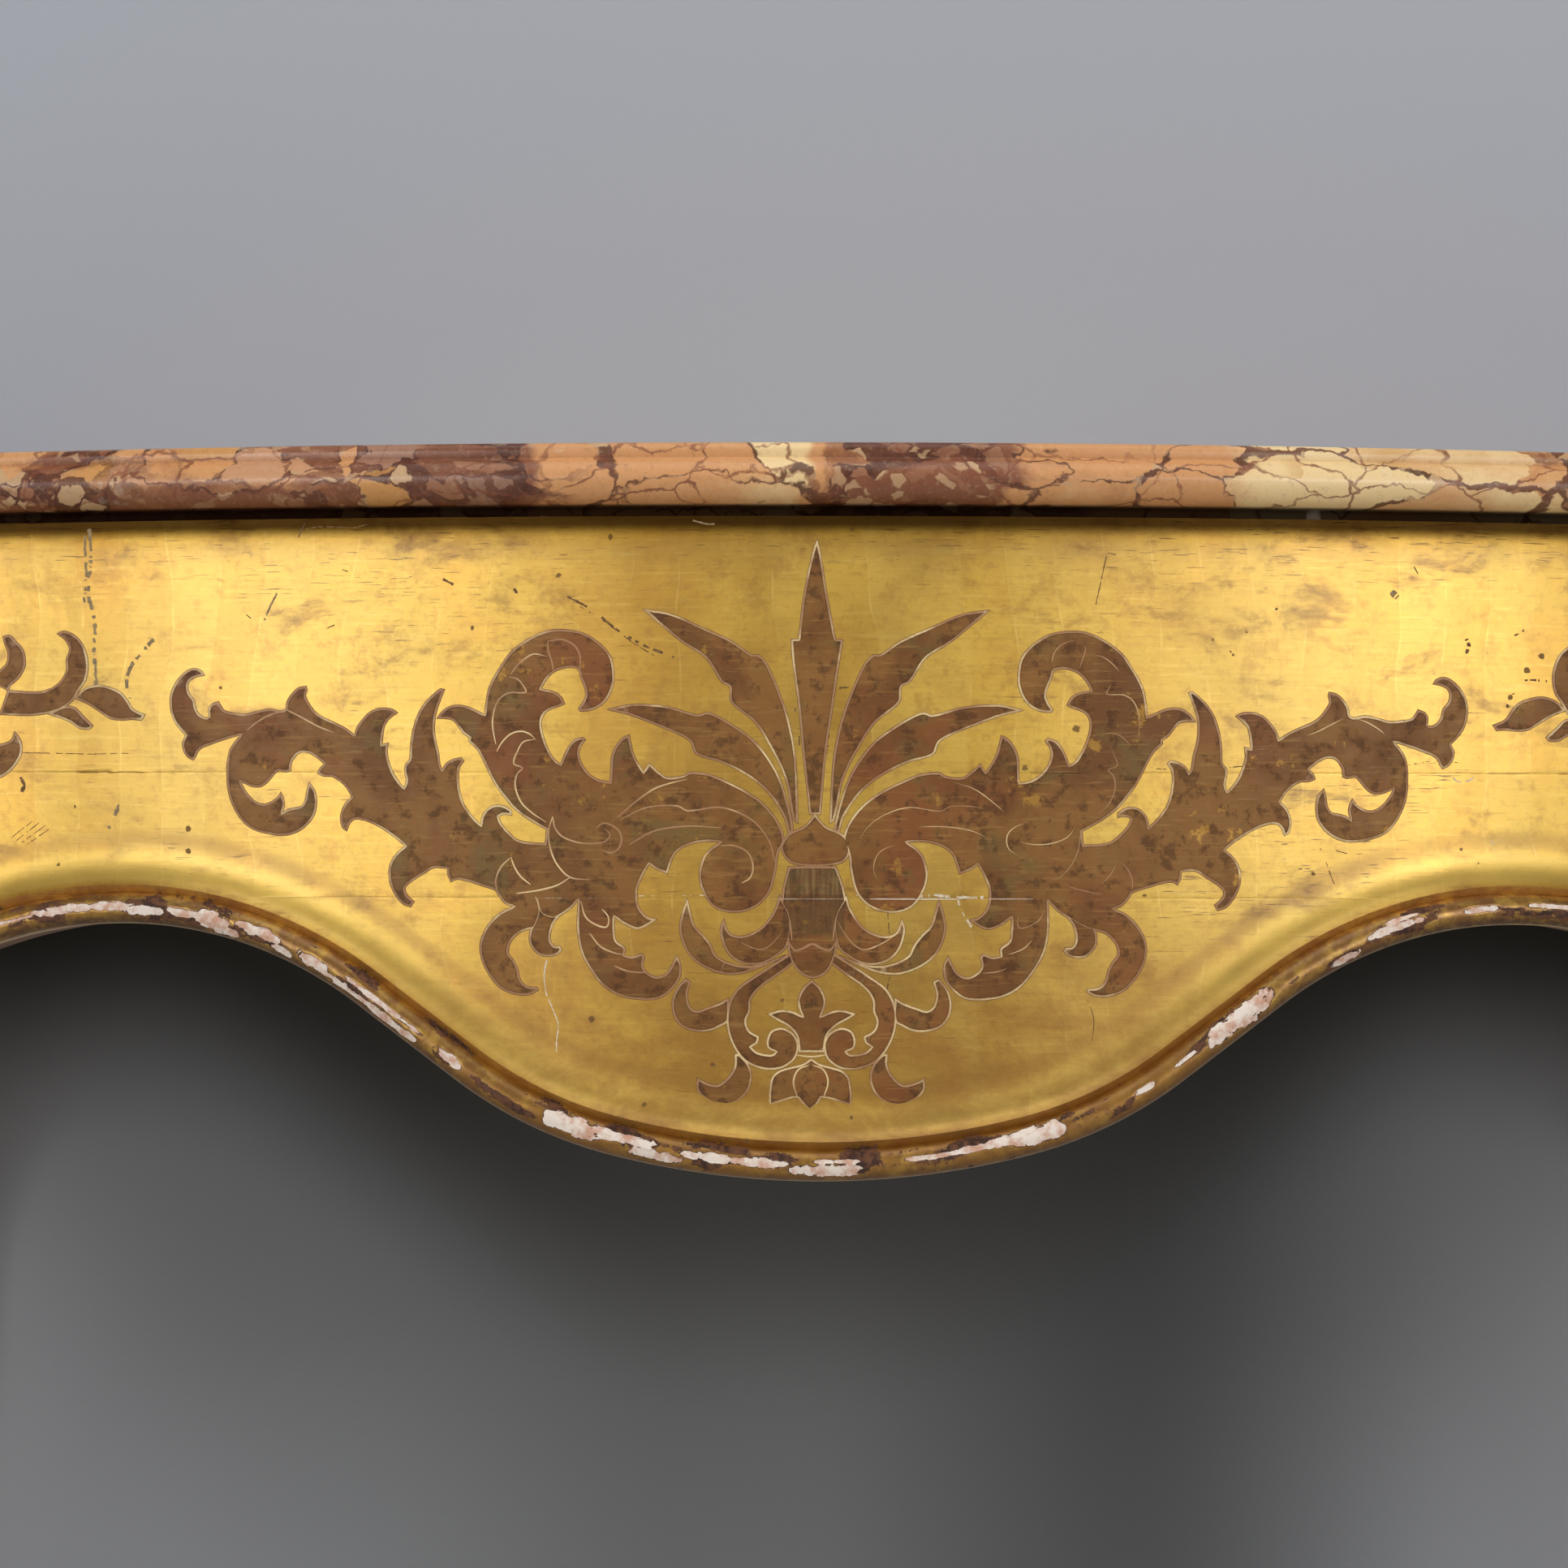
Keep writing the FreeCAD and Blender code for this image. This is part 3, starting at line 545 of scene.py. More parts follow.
def apron_mesh(name, face, outline, half_length, spacing, losses, seed):
    """A whole apron as one closed mesh with its attributes."""
    columns = int(round(2 * half_length / spacing)) + 1
    distance = np.linspace(-half_length, half_length, columns)[:, None]
    profile = border_profile(14, 4, 18)
    bottom = outline.height(distance, 0.0)
    rows = []

    def add(across, forward, height, bare):
        count = np.broadcast(across, forward, height).shape[-1] if np.ndim(across) else 1
        rows.append([np.broadcast_to(value, (columns, count)) for value in (across, forward, height, bare)])

    flank = np.linspace(-board_thickness, roll_middle, section_shares["flank"], endpoint=False)[None, :]
    add(0 * flank, flank, bottom + 0 * flank, (flank < -0.006) * 1.0)
    add(profile[None, :, 0], profile[None, :, 1], outline.height(distance, profile[None, :, 0]), 0.0)
    rise = np.linspace(0, 1, section_shares["frieze"] + 1)[None, 1:]
    border_top = outline.height(distance, border_width)
    frieze = border_top + (frame_top - border_top) * rise
    add(border_width + frieze - border_top, 0 * frieze, frieze, 0.0)
    inward = np.linspace(0, -board_thickness, section_shares["top"] + 1)[None, 1:]
    add(1.0 + 0 * inward, inward, frame_top + 0 * inward, 1.0)
    fall = np.linspace(0, 1, section_shares["back"] + 1)[None, 1:-1]
    add(1.0 + 0 * fall, -board_thickness + 0 * fall, frame_top + (bottom - frame_top) * fall, 1.0)
    across, forward, height, bare = (np.concatenate(parts, axis=1) for parts in zip(*rows))
    along = np.broadcast_to(distance, across.shape)
    points = face.at(along, forward, height)
    gesso, bole = worn(points, across, along, seed)
    if losses:
        seen = step(0.40 - np.abs(along), 0.0, 0.03)
        placed = photo_losses(along, across, points) * (across < 0.016)
        gesso = np.where(bare > 0, 0, gesso * (1 - seen) + placed * seen)
    gesso, bole = gesso * (bare == 0), bole * (bare == 0)
    lost = 0.00035 * step(gesso, 0.42, 0.58) + 0.00008 * step(bole, 0.55, 0.7)
    uneven = hand_made(points) * (across > 0.02) * (bare == 0)
    points = face.at(along, forward - lost * (across < 0.03) + uneven, height)
    values = {
        "across": across.ravel(), "gesso": gesso.ravel(), "bole": bole.ravel(), "bare": bare.ravel(),
        "leaf_place": np.stack([along, height, 0 * height], -1).reshape(-1, 3),
    }
    ring = across.shape[1]
    faces = [*ring_faces(ring, columns), np.arange(ring), (columns - 1) * ring + np.arange(ring)]
    return new_piece(name, points, faces, values)


def split_boards(whole, boards):
    """Cut an apron into level boards, with a row of points just beside each glue line."""
    made = []
    lines = sorted({height for _, low, high in boards for height in (low, high)})[1:-1]
    for name, low, high in boards:
        mesh = whole.data.copy()
        mesh.name = name
        with editing(mesh) as work:
            slice_round_lines(work, lines, (-groove_half_width, groove_half_width))
            for height, normal in ((low, (0, 0, -1)), (high, (0, 0, 1))):
                if height in lines:
                    cut_piece(work, (0, 0, height), normal)
        made.append(add_object(name, mesh))
    bpy.data.objects.remove(whole)
    return made


# How open a glue line is: from x to x in the picture, which line, and how far
open_stretches = [
    (-200, 235, upper_glue_line, 0.20), (235, 640, upper_glue_line, 0.02),
    (640, 1400, upper_glue_line, 0.06), (640, 1058, lower_glue_line, 0.19),
    (1058, 1205, lower_glue_line, 0.48), (1205, 1295, lower_glue_line, 0.26),
    (1700, 2100, upper_glue_line, 0.12),
]


def openness(points, line, seed):
    """How far a glue line has opened at points, from 0 to 1."""
    ragged = fractal(points * (1, 1, 0.2), 0.03, seed, 5) - 0.5
    ragged = ragged + 0.35 * (cloud(points, 0.004, seed + 1) - 0.5)
    found = 0.22 + 0 * points[:, 0]
    for left, right, height, more in open_stretches:
        if height == line:
            low, high = (
                (end - picture_side / 2) * metres_per_pixel + camera_place[0] for end in (left, right)
            )
            inside = step(points[:, 0], low, low + 0.012) * step(-points[:, 0], -high, -high + 0.012)
            found = found + more * inside * (points[:, 1] < 0)
    return np.clip(found + 0.75 * ragged, 0, 1)


def press_glue_lines(board, lines, outward, seed):
    """Press in the edge of a board at its glue lines and mark it as cracked."""
    mesh = board.data
    points = np.zeros(len(mesh.vertices) * 3)
    mesh.vertices.foreach_get("co", points)
    points = points.reshape(-1, 3)
    values = {}
    for key in ("across", "bare"):
        values[key] = np.zeros(len(mesh.vertices))
        mesh.attributes[key].data.foreach_get("value", values[key])
    crack = np.zeros(len(points))
    for line in lines:
        near = (np.abs(points[:, 2] - line) < 1e-5) & (values["bare"] == 0) & (values["across"] < 0.5)
        opened = openness(points, line, seed)[near]
        crack[near] = opened
        points[near] -= np.array(outward) * (0.00006 + 0.00036 * step(opened, 0.3, 0.7))[:, None]
    mesh.vertices.foreach_set("co", points.ravel())
    store(mesh, "crack", crack)
    finish_mesh(board)


front_outward = (0.0, -1.0, 0.0)
front_boards = split_boards(
    apron_mesh("front_apron", front_face, front_outline, front_joint, 0.00125, True, 5),
    [
        ("front_apron_lower", 0.0, lower_glue_line),
        ("front_apron_middle", lower_glue_line, upper_glue_line),
        ("front_apron_upper", upper_glue_line, frame_top),
    ],
)
for board in front_boards:
    press_glue_lines(board, (lower_glue_line, upper_glue_line), front_outward, 7)
    print(board.name, len(board.data.polygons), "faces")

# %% [markdown]
# ## The side aprons
# Each side is the same section on its own plan and a single arch, in two boards.

# %% Side aprons
hands = {1: "right", -1: "left"}
side_boards = {}
for hand, side_name in hands.items():
    name = f"{side_name}_apron"
    made = split_boards(
        apron_mesh(name, side_faces[hand], side_outline, side_joint, 0.0016, False, 60 + hand),
        [(f"{name}_lower", 0.0, upper_glue_line), (f"{name}_upper", upper_glue_line, frame_top)],
    )
    for board in made:
        press_glue_lines(board, (upper_glue_line,), (float(hand), 0.0, 0.0), 8)
        side_boards[board.name] = board
print(len(side_boards), "side boards")

# %% [markdown]
# ## The legs
# A cabriole leg is a post above and an S-curve below. Its level section changes all the way down: the
# border crosses from the apron onto it and dies away towards the ankle. A table of shares gives the
# sweep and the width at each height, a smooth curve runs through the table, and the stack of sections
# becomes the mesh. The posts are then cut flat where the aprons meet them.

# %% Leg sections
# Height, sweep, width in front, depth at the side and size of the border, each as a share
leg_shares = [
    (0.034, 0.00, 0.965, 0.965, 0.50), (0.075, -0.08, 0.993, 0.900, 0.46),
    (0.120, -0.25, 1.050, 0.800, 0.42), (0.175, -0.39, 1.090, 0.730, 0.38),
    (0.250, -0.47, 1.110, 0.700, 0.37), (0.350, -0.44, 1.090, 0.715, 0.40),
    (0.470, -0.29, 1.030, 0.760, 0.47), (0.610, -0.08, 0.960, 0.830, 0.58),
    (0.750, 0.12, 0.915, 0.905, 0.72), (0.870, 0.225, 0.945, 0.965, 0.88),
    (0.950, 0.25, 0.985, 0.990, 0.97), (1.020, 0.225, 1.000, 1.000, 1.00),
    (1.090, 0.13, 1.000, 1.000, 1.00), (1.150, 0.04, 1.000, 1.000, 1.00),
    (1.200, 0.00, 1.000, 1.000, 1.00), (1.400, 0.00, 1.000, 1.000, 1.00),
]


def smooth_row(rows, key):
    """The row at that key, on a smooth curve through the rows."""
    last = len(rows) - 1
    at = next((i for i in range(last) if key <= rows[i + 1][0]), last - 1)
    low, high = rows[at], rows[at + 1]
    before, after = rows[max(at - 1, 0)], rows[min(at + 2, last)]
    span = high[0] - low[0]
    t = (key - low[0]) / span
    found = []
    for column in range(1, len(low)):
        low_slope = (high[column] - before[column]) / (high[0] - before[0]) * span
        high_slope = (after[column] - low[column]) / (after[0] - low[0]) * span
        found.append(bridge(low[column], low_slope, high[column], high_slope, t))
    return found


joined_height = max(
    float(outline.height(joint, border_width))
    for outline, joint in ((front_outline, front_joint), (side_outline, side_joint))
)
leg_border = border_profile(11, 3, 14)


def leg_section(front, height):
    """Level section of a leg as (across, inward, gap, bare) rows, from the post's outer corner."""
    springing = front_outline.springing()
    sweep, inner, depth, scale = smooth_row(leg_shares, height / springing)
    sweep, inner, depth = sweep * foot_width, inner * leg_inner_edge, depth * leg_inner_edge

    def front_across(gap):
        if height < springing:
            return inner + sweep - gap * scale
        return front_half_length - front_outline.reach(height, gap) + sweep

    def side_across(gap):
        if height > side_outline.springing():
            return side_half_length - side_outline.reach(height, gap) + (sweep if front else 0)
        return (inner + sweep if front else depth) - gap * scale

    front_width, side_width = front_across(0), side_across(0)
    rounding = min(post_corner_radius, 0.30 * min(front_width, side_width))
    rows = []

    def run(start, end, count, bare):
        for share in np.arange(count) / count:
            rows.append([*(np.array(start) * (1 - share) + np.array(end) * share), 0.2, bare])

    inner_corner = (0.93 * front_width, 0.93 * side_width)
    front_flank = (front_width, 0.62 * side_width)
    side_flank = (0.62 * front_width, side_width)
    run(inner_corner, front_flank, 6, 1)
    if front:
        run(front_flank, (front_width, -roll_middle * scale), 6, 0)
        rows.extend([front_across(gap), -forward * scale, gap, 0] for gap, forward in leg_border[:-1])
        run((front_across(border_width), 0), (rounding, 0), 10, 0)
    else:
        run(front_flank, (front_width, 0), 16, 1)
        run((front_width, 0), (rounding, 0), 5 + len(leg_border), 1)
    for angle in np.linspace(0, quarter, 9)[:-1]:
        rows.append([rounding * (1 - math.sin(angle)), rounding * (1 - math.cos(angle)), 0.2, 0])
    run((0, rounding), (0, side_across(border_width)), 10, 0)
    rows.extend([-forward * scale, side_across(gap), gap, 0] for gap, forward in leg_border[:0:-1])
    run((-roll_middle * scale, side_width), side_flank, 6, 0)
    run(side_flank, inner_corner, 6, 1)
    return np.array(rows), sweep, scale


def leg_piece(name, hand, front, seed):
    """One leg with its post, cut where the aprons meet it."""
    heights = np.concatenate(
        [np.linspace(foot_block_height, joined_height, 250), np.linspace(joined_height, frame_top, 60)[1:]]
    )
    corner = np.array([hand * corner_x, front_corner_y if front else back_y])
    inward_sign = 1 if front else -1
    points, across, bare, along = [], [], [], []
    for height in heights:
        rows, sweep, scale = leg_section(front, min(height, joined_height))
        x = corner[0] - hand * (rows[:, 0] - sweep)
        y = corner[1] + inward_sign * (rows[:, 1] - (sweep if front else 0))
        points.append(np.stack([x, y, 0 * x + height], 1))
        plain = step(height, joined_height - 0.001, joined_height + 0.001)
        across.append(rows[:, 2] + plain)
        bare.append(rows[:, 3])
        steps = (np.diff(rows[:, column], prepend=rows[0, column]) for column in (0, 1))
        along.append(np.cumsum(np.hypot(*steps)))
    ring = len(points[0])
    points, across, bare, along = (np.concatenate(part) for part in (points, across, bare, along))
    gesso, bole = worn(points, across, points[:, 2], seed)
    edges = fractal(points, 0.02, seed + 9)
    toe = step(0.10 - points[:, 2], 0.0, 0.08)
    bole = np.maximum(bole, (edges - 0.12 + 0.22 * toe) * (across > 0.1)) * (bare == 0)
    gesso = gesso * (bare == 0)
    values = {
        "across": across, "gesso": gesso, "bole": bole, "bare": bare, "crack": 0 * bare,
        "leaf_place": np.stack([along, points[:, 2], 0 * along], -1),
    }
    faces = [*ring_faces(ring, len(heights)), np.arange(ring), (len(heights) - 1) * ring + np.arange(ring)]
    leg = new_piece(name, points, faces, values)
    with editing(leg.data) as work:
        bmesh.ops.recalc_face_normals(work, faces=work.faces)
        cut_piece(work, (hand * (corner_x - post_side), 0, 0), (-hand, 0, 0))
        cut_piece(work, (0, corner[1] + inward_sign * post_side, 0), (0, inward_sign, 0))
    finish_mesh(leg, 45.0)
    return leg


legs = {}
for front, end_name in ((True, "front"), (False, "rear")):
    for hand, side_name in hands.items():
        node = f"{end_name}_{side_name}_leg"
        legs[node] = leg_piece(f"carved_{node}", hand, front, 100 + 7 * len(legs))
        print(node, len(legs[node].data.polygons), "faces")

# %% [markdown]
# ## The marble slab
# The slab's edge is one moulding run round three sides: a deep nosing below and a thin step above, parted
# by a shadow. A mason works it with one template, so a sweep is the honest way to model it. The back is
# left square for the wall.

# %% Slab
nose_top = table_height - 0.0065
nose_bottom = frame_top + 0.0042
nose_lower_radius, nose_upper_radius, step_radius = 0.0125, 0.010, 0.004
step_setback = 0.005
inner_row = -0.014


def arc_rows(middle_forward, middle_height, radius, start, end, count):
    """Points of an arc in the edge's profile, by angle from level."""
    angle = np.radians(np.linspace(start, end, count))
    return np.stack([middle_forward + radius * np.cos(angle), middle_height + radius * np.sin(angle)], 1)


edge_profile = np.concatenate(
    [
        [(inner_row, frame_top), (-0.0015, frame_top), (-0.0008, nose_bottom)],
        arc_rows(
            front_overhang - nose_lower_radius, nose_bottom + nose_lower_radius, nose_lower_radius, -90, 0, 14
        ),
        arc_rows(
            front_overhang - nose_upper_radius, nose_top - nose_upper_radius, nose_upper_radius, 0, 62, 10
        ),
        [(front_overhang - 0.0058, nose_top - 0.0004)],
        arc_rows(
            front_overhang - step_setback - step_radius, table_height - step_radius, step_radius, 0, 90, 8
        ),
        [(0.000, table_height), (inner_row, table_height)],
    ]
)


def slab_line(forward):
    """The slab's outline at that overhang, from the back's left end round to its right end."""
    front_end = front_half_length - post_corner_radius
    side_end = side_half_length - post_corner_radius
    back_end = side_half_length + back_overhang
    angle = np.linspace(0, quarter, 26)[1:-1]
    radius = post_corner_radius + forward
    left = side_faces[-1].at(np.linspace(back_end, -side_end, 240), forward, 0)
    centre_x, centre_y = corner_x - post_corner_radius, front_corner_y + post_corner_radius
    corner = np.stack([-centre_x - radius * np.cos(angle), centre_y - radius * np.sin(angle), 0 * angle], 1)
    front = front_face.at(np.linspace(-front_end, front_end, 560), forward, 0)
    left_end = np.concatenate([left, corner])
    return np.concatenate([left_end, front, left_end[::-1] * (-1, 1, 1)])


slab_points = np.stack([slab_line(forward) for forward, _ in edge_profile], axis=1)
slab_points[..., 2] = edge_profile[:, 1]
rows, columns = len(edge_profile), len(slab_points)
chips = fractal(slab_points, 0.02, 31) * fractal(slab_points, 0.004, 33)
chips[:, [0, -1]] = 0
edge_faces = ring_faces(rows, columns, closed=False)
# The bed and the top are rows of quads from the left half to the right, and the back is one face
column = np.arange(columns // 2 - 1)
bed = np.stack([column, columns - 1 - column, columns - 2 - column, column + 1], 1) * rows
top = bed[:, ::-1] + rows - 1
left_edge = np.arange(rows)
back = [*left_edge, *((columns - 1) * rows + left_edge[::-1])]
faces = [*edge_faces, *bed.tolist(), *top.tolist(), back]
slab = new_piece("marble_top", slab_points, faces, {"edge_chip": chips.ravel()}, 35.0)
print("slab", len(slab.data.polygons), "faces")

# %% [markdown]
# ## The ornament
# The brown scrollwork is dark lacquer let into the gold, with a fine line cut just inside its edge. The left
# half is drawn here as closed strokes, in the picture's own pixels, and its mirror image makes the right
# half. A flat texture would do for one view, but real relief catches the light from any.

# %% Strokes of the left half
wing = [
    (251, 832), (248, 827), (241, 824), (232, 826), (222, 834), (214, 846), (210, 859), (210.5, 874),
    (215, 888), (222, 898), (229.5, 906), (225, 915), (226, 923.5), (231, 932), (238, 936), (241, 932),
    (243.5, 926), (249, 921), (259, 917), (273, 912), (286, 908), (298, 904.5), (290, 914), (284, 923.5),
    (281, 935), (280, 951.5), (281, 971), (286, 989), (295, 1006), (308, 1019), (326.5, 1026), (351, 1029),
    (371, 1022), (386, 1006), (390, 989), (388, 975), (381, 965), (378, 977), (376, 987), (371, 994),
    (361, 996), (353, 998.5), (347, 1003.5), (350, 992), (349, 984), (346, 977), (341, 984), (335, 988),
    (326, 991), (316.5, 989), (307, 981), (300, 971), (296, 962), (304, 966), (312, 969), (321, 969),
    (329, 964), (336, 956), (343, 949), (353, 951), (358, 949), (359, 940), (363.5, 932), (370, 927),
    (380, 927), (389, 932), (396, 937.5), (400, 941), (393, 949), (392, 953), (399, 956), (410.5, 957),
    (424.5, 967), (432, 978), (434, 982), (426, 990), (421, 1001), (420, 1011), (423, 1020.5), (427, 1023),
    (431, 1014), (435, 1010), (443, 1009), (454, 1012), (466, 1017.5), (478, 1025), (489, 1033),
    (500, 1042.5), (489, 1052), (481, 1065.5), (480, 1083), (486, 1100), (496, 1113), (506, 1117),
    (510, 1111), (501, 1102), (499, 1094), (506, 1086.5), (521, 1077), (535, 1069), (552, 1070), (552, 1077),
    (556, 1086), (563, 1083), (579, 1086), (594, 1091), (611, 1097), (614, 1102), (623, 1113), (634, 1117),
]
wing_crescent = [
    (634, 1117), (617, 1125), (602, 1140), (593, 1159), (593, 1178), (602, 1199), (617, 1217), (636, 1225),
    (653, 1225), (663, 1220), (662, 1217), (649, 1215), (641, 1207), (638, 1194), (632, 1182),
    (626.5, 1174.5), (629, 1161), (642, 1148), (667, 1141), (686, 1130.5), (703, 1119), (713, 1108),
]
hanging_leaf = [
    (712, 1145), (717, 1173), (728, 1194), (743.5, 1214), (763, 1226), (787, 1231), (811, 1230),
    (826.5, 1220), (837, 1206), (839, 1190), (834, 1178), (828, 1190), (821, 1200), (809, 1204), (797, 1198),
    (792, 1190), (794, 1179), (791, 1175), (779, 1179), (769, 1177), (770, 1168), (759, 1159), (757, 1143),
    (757, 1129), (771, 1139), (787, 1144), (809, 1133), (797.5, 1130), (787, 1117.5), (785, 1097),
    (791, 1080), (800, 1064), (808, 1070), (822, 1076), (831, 1053), (843, 1043), (864, 1037), (889, 1037),
]
volute = [
    (889, 1037), (877, 1045), (868, 1055), (862, 1076), (866, 1097), (880.5, 1117.5), (905, 1124),
    (930, 1117.5), (947, 1101), (955, 1076), (959, 1050), (965.5, 1035),
]
teeth = [
    (965.5, 1035), (959, 1014), (943, 993), (922, 977), (897, 964), (872, 954), (849, 952), (843, 956),
    (822, 958), (812, 952), (800, 941), (793, 952), (781, 931), (776, 911.5), (775, 906), (768, 909),
    (759.5, 919), (754, 932), (753, 947), (752, 964), (737.5, 961), (726, 954), (717, 942), (713, 929),
    (715.5, 919), (721, 911.5), (718, 909), (708, 912), (701, 920), (695, 932), (691, 942), (683, 936),
    (676, 925), (670, 910), (667, 898), (667, 886.5), (671.5, 878), (680, 873), (689, 870), (695, 867),
    (692, 860), (685, 854), (676, 851), (666, 849),
]
upper_curl = [
    (666, 849), (673, 837), (682, 828), (692, 823.5), (704, 822), (713, 825), (715.5, 834), (720, 845.5),
    (722, 857), (718, 866), (713, 873), (715, 876), (724, 875.5), (735, 872), (745, 864.5), (752, 853),
    (756, 838), (754, 815), (747.5, 802), (736, 791), (722, 782), (707, 777.5), (690, 776), (675, 777.5),
    (662, 782), (647, 790), (629, 804), (619, 818), (610, 832), (602.5, 848), (599, 866), (597.5, 881),
    (585, 875), (576, 871), (565, 869), (555, 870.5), (545, 877), (539, 885), (547, 885), (558, 887),
    (565, 895), (571, 903), (579, 909), (578, 913), (588, 923), (595, 935), (602.5, 951), (611, 967),
    (622, 982), (633, 995), (648, 1007), (663, 1016), (674, 1022),
]
wing_top = [
    (672, 1040), (640, 1036), (626, 1025), (617, 1014), (614, 1006), (620, 1003), (630, 1004), (630, 999),
    (620, 993), (608, 993), (599, 999), (594, 1008), (593, 1017.5), (581, 1005), (571, 990), (566, 973),
    (564.5, 956), (566, 945.5), (571, 938), (568, 934), (558, 936), (549, 942), (545, 950), (542, 942.5),
    (540, 927), (536, 910), (535, 893.5), (537, 878), (542, 863), (547, 850), (543, 849), (535, 855),
    (524, 866), (515, 881), (509, 900), (506, 919.5), (505, 936), (500, 942), (499, 950), (501, 962),
    (498, 971.5), (490, 962), (483, 950), (478, 935), (476.5, 926), (478, 916), (470, 918), (472, 901),
    (475, 891), (481, 884), (489, 878), (483, 874), (469, 873), (457, 877), (447.5, 886), (440, 896.5),
    (437, 906), (424.5, 897), (410.5, 890), (396, 883), (387, 876), (379, 864.5), (376, 857.5), (378, 850),
    (377, 846), (368, 848), (360, 855), (354, 864.5), (352, 874), (347, 876.5), (333, 874), (318, 876.5),
    (304, 880), (290, 879), (276.5, 876), (272, 870), (269, 865), (261, 868), (257.5, 874), (258, 883),
    (255, 885), (246, 881), (241, 873), (239, 863), (233, 855), (231, 845), (234, 838), (241, 834),
    (251, 832),
]
scroll = wing + wing_crescent + hanging_leaf + volute + teeth + upper_curl + wing_top
spear = [
    (998, 1003), (990, 931), (984, 869), (977, 815), (975, 788), (984, 788), (990, 736), (1000, 686),
    (1006.5, 665), (1011, 686), (1019, 736), (1029, 788), (1038, 789), (1033, 819), (1026, 869), (1017, 931),
    (1011, 1003),
]
upper_leaf = [
    (983, 1014), (980, 935), (972, 890), (961, 856), (945, 819), (934, 807), (926, 807), (901, 790),
    (864, 773), (827, 757), (793, 751), (814, 769), (839, 790), (870, 811), (889, 840), (899, 846),
    (901, 865), (930, 890), (951, 923), (968, 960), (978, 1010),
]
lower_leaf = [
    (977, 1022), (968, 981), (955, 948), (930, 914), (897, 890), (872, 878), (860, 881), (822, 871),
    (781, 868), (749, 874), (777, 881), (806, 892), (835, 904), (851, 914), (858, 929), (889, 939),
    (922, 956), (947, 977), (966, 1006), (972, 1028),
]
boss = [
    (1004, 1003.5), (992, 1018), (972, 1028), (963, 1045), (972, 1061), (988, 1066), (1021, 1066),
    (1040, 1061), (1047, 1047), (1040, 1030), (1017, 1018),
]
cup = [
    (972, 1068), (965, 1097), (963, 1130), (970, 1155), (974, 1180), (986, 1198), (1002, 1205), (1018, 1198),
    (1028, 1180), (1033, 1155), (1043, 1130), (1040, 1097), (1030, 1068),
]
outer_spray = [
    (847, 1108), (841, 1125), (838, 1145), (844, 1167), (856, 1183), (874, 1194), (894, 1200), (915, 1199),
    (935, 1192.5), (971, 1177), (940, 1188), (917.5, 1190.5), (898, 1186.5), (882, 1177), (876, 1165),
    (868, 1154), (856, 1141), (851, 1125),
]
inner_spray = [
    (892, 1133), (888, 1145), (893, 1167), (904, 1181), (919.5, 1187.5), (937, 1187.5), (955, 1179),
    (970, 1165), (974, 1131), (961, 1103.5), (955, 1121), (941, 1141), (925, 1151), (910, 1154), (898, 1149),
]
stem = [
    (975, 1175), (953, 1188.5), (929, 1204), (910, 1218), (900, 1234), (896, 1254), (899, 1275.5),
    (908, 1295), (921, 1309), (941, 1317), (963, 1316), (979, 1305), (984, 1289), (979, 1275.5), (965, 1267),
    (951, 1270.5), (946, 1281), (947, 1291), (957, 1296), (951, 1300), (933, 1297), (925, 1290), (933, 1285),
    (935, 1277.5), (923, 1270), (919.5, 1258), (924, 1246), (925, 1232), (935, 1218), (957, 1202),
    (978, 1186.5),
]
hook = [
    (898, 1230), (888, 1236), (872, 1242), (858, 1246), (850, 1240), (847, 1224), (851, 1210), (845, 1206),
    (836, 1216), (829.5, 1232), (830.5, 1250), (840, 1264), (856, 1270), (874, 1270), (888, 1264),
    (897, 1258),
]
tail = [
    (906, 1299), (906, 1313), (900, 1325), (886, 1337), (872, 1335), (860, 1329), (860, 1343), (872, 1355),
    (890, 1361.5), (908, 1357), (921, 1345), (926, 1329), (923, 1313), (912, 1300),
]
lily = [
    (1000.5, 1208), (990, 1218), (984, 1232), (986, 1244), (990, 1253), (977, 1247), (963, 1245),
    (947, 1249.5), (957, 1256), (971, 1264), (982, 1276), (985, 1296), (1016, 1296), (1019, 1276),
    (1030, 1264), (1044, 1256), (1054, 1249.5), (1038, 1245), (1024, 1247), (1011, 1253), (1015, 1244),
    (1017, 1232), (1011, 1218),
]
bud = [
    (1000, 1305), (988, 1312), (975, 1315), (960, 1320), (952, 1328), (949, 1345), (948.5, 1362),
    (962, 1357), (975, 1353), (984, 1352), (990, 1360), (998, 1368), (1007, 1360), (1012, 1352),
    (1020, 1353), (1034, 1357), (1049, 1362), (1049, 1345), (1046, 1328), (1038, 1320), (1024, 1315),
    (1012, 1312),
]
side_hook = [
    (-12, 838), (0, 826), (8, 818), (10, 804), (6, 794), (4, 785), (11, 783), (20, 791), (28, 801),
    (31, 816), (28, 827), (22, 836), (12, 845), (10, 851),
]
side_stem = [
    (10, 851), (24, 852), (40, 853), (53, 852), (66, 847), (76, 838), (82, 826), (82, 812), (86, 800),
    (80, 788), (71, 781), (78, 778), (90, 782), (100, 792), (106, 806), (108, 822), (105, 838), (98, 849),
    (90, 862), (78, 872), (62, 878), (42, 881), (20, 881), (0, 880),
]
side_leaf = [
    (92, 860), (104, 849), (120, 844.5), (134, 847), (148, 853), (156, 862), (164, 874), (178, 881),
    (174, 887), (163, 886), (150, 887), (136, 885), (122, 876), (108, 867),
]
side_leaflet = [
    (78, 871), (92, 872), (100, 880), (108, 888), (114, 894), (110, 898), (98, 897), (88, 890), (74, 884),
    (60, 880),
]
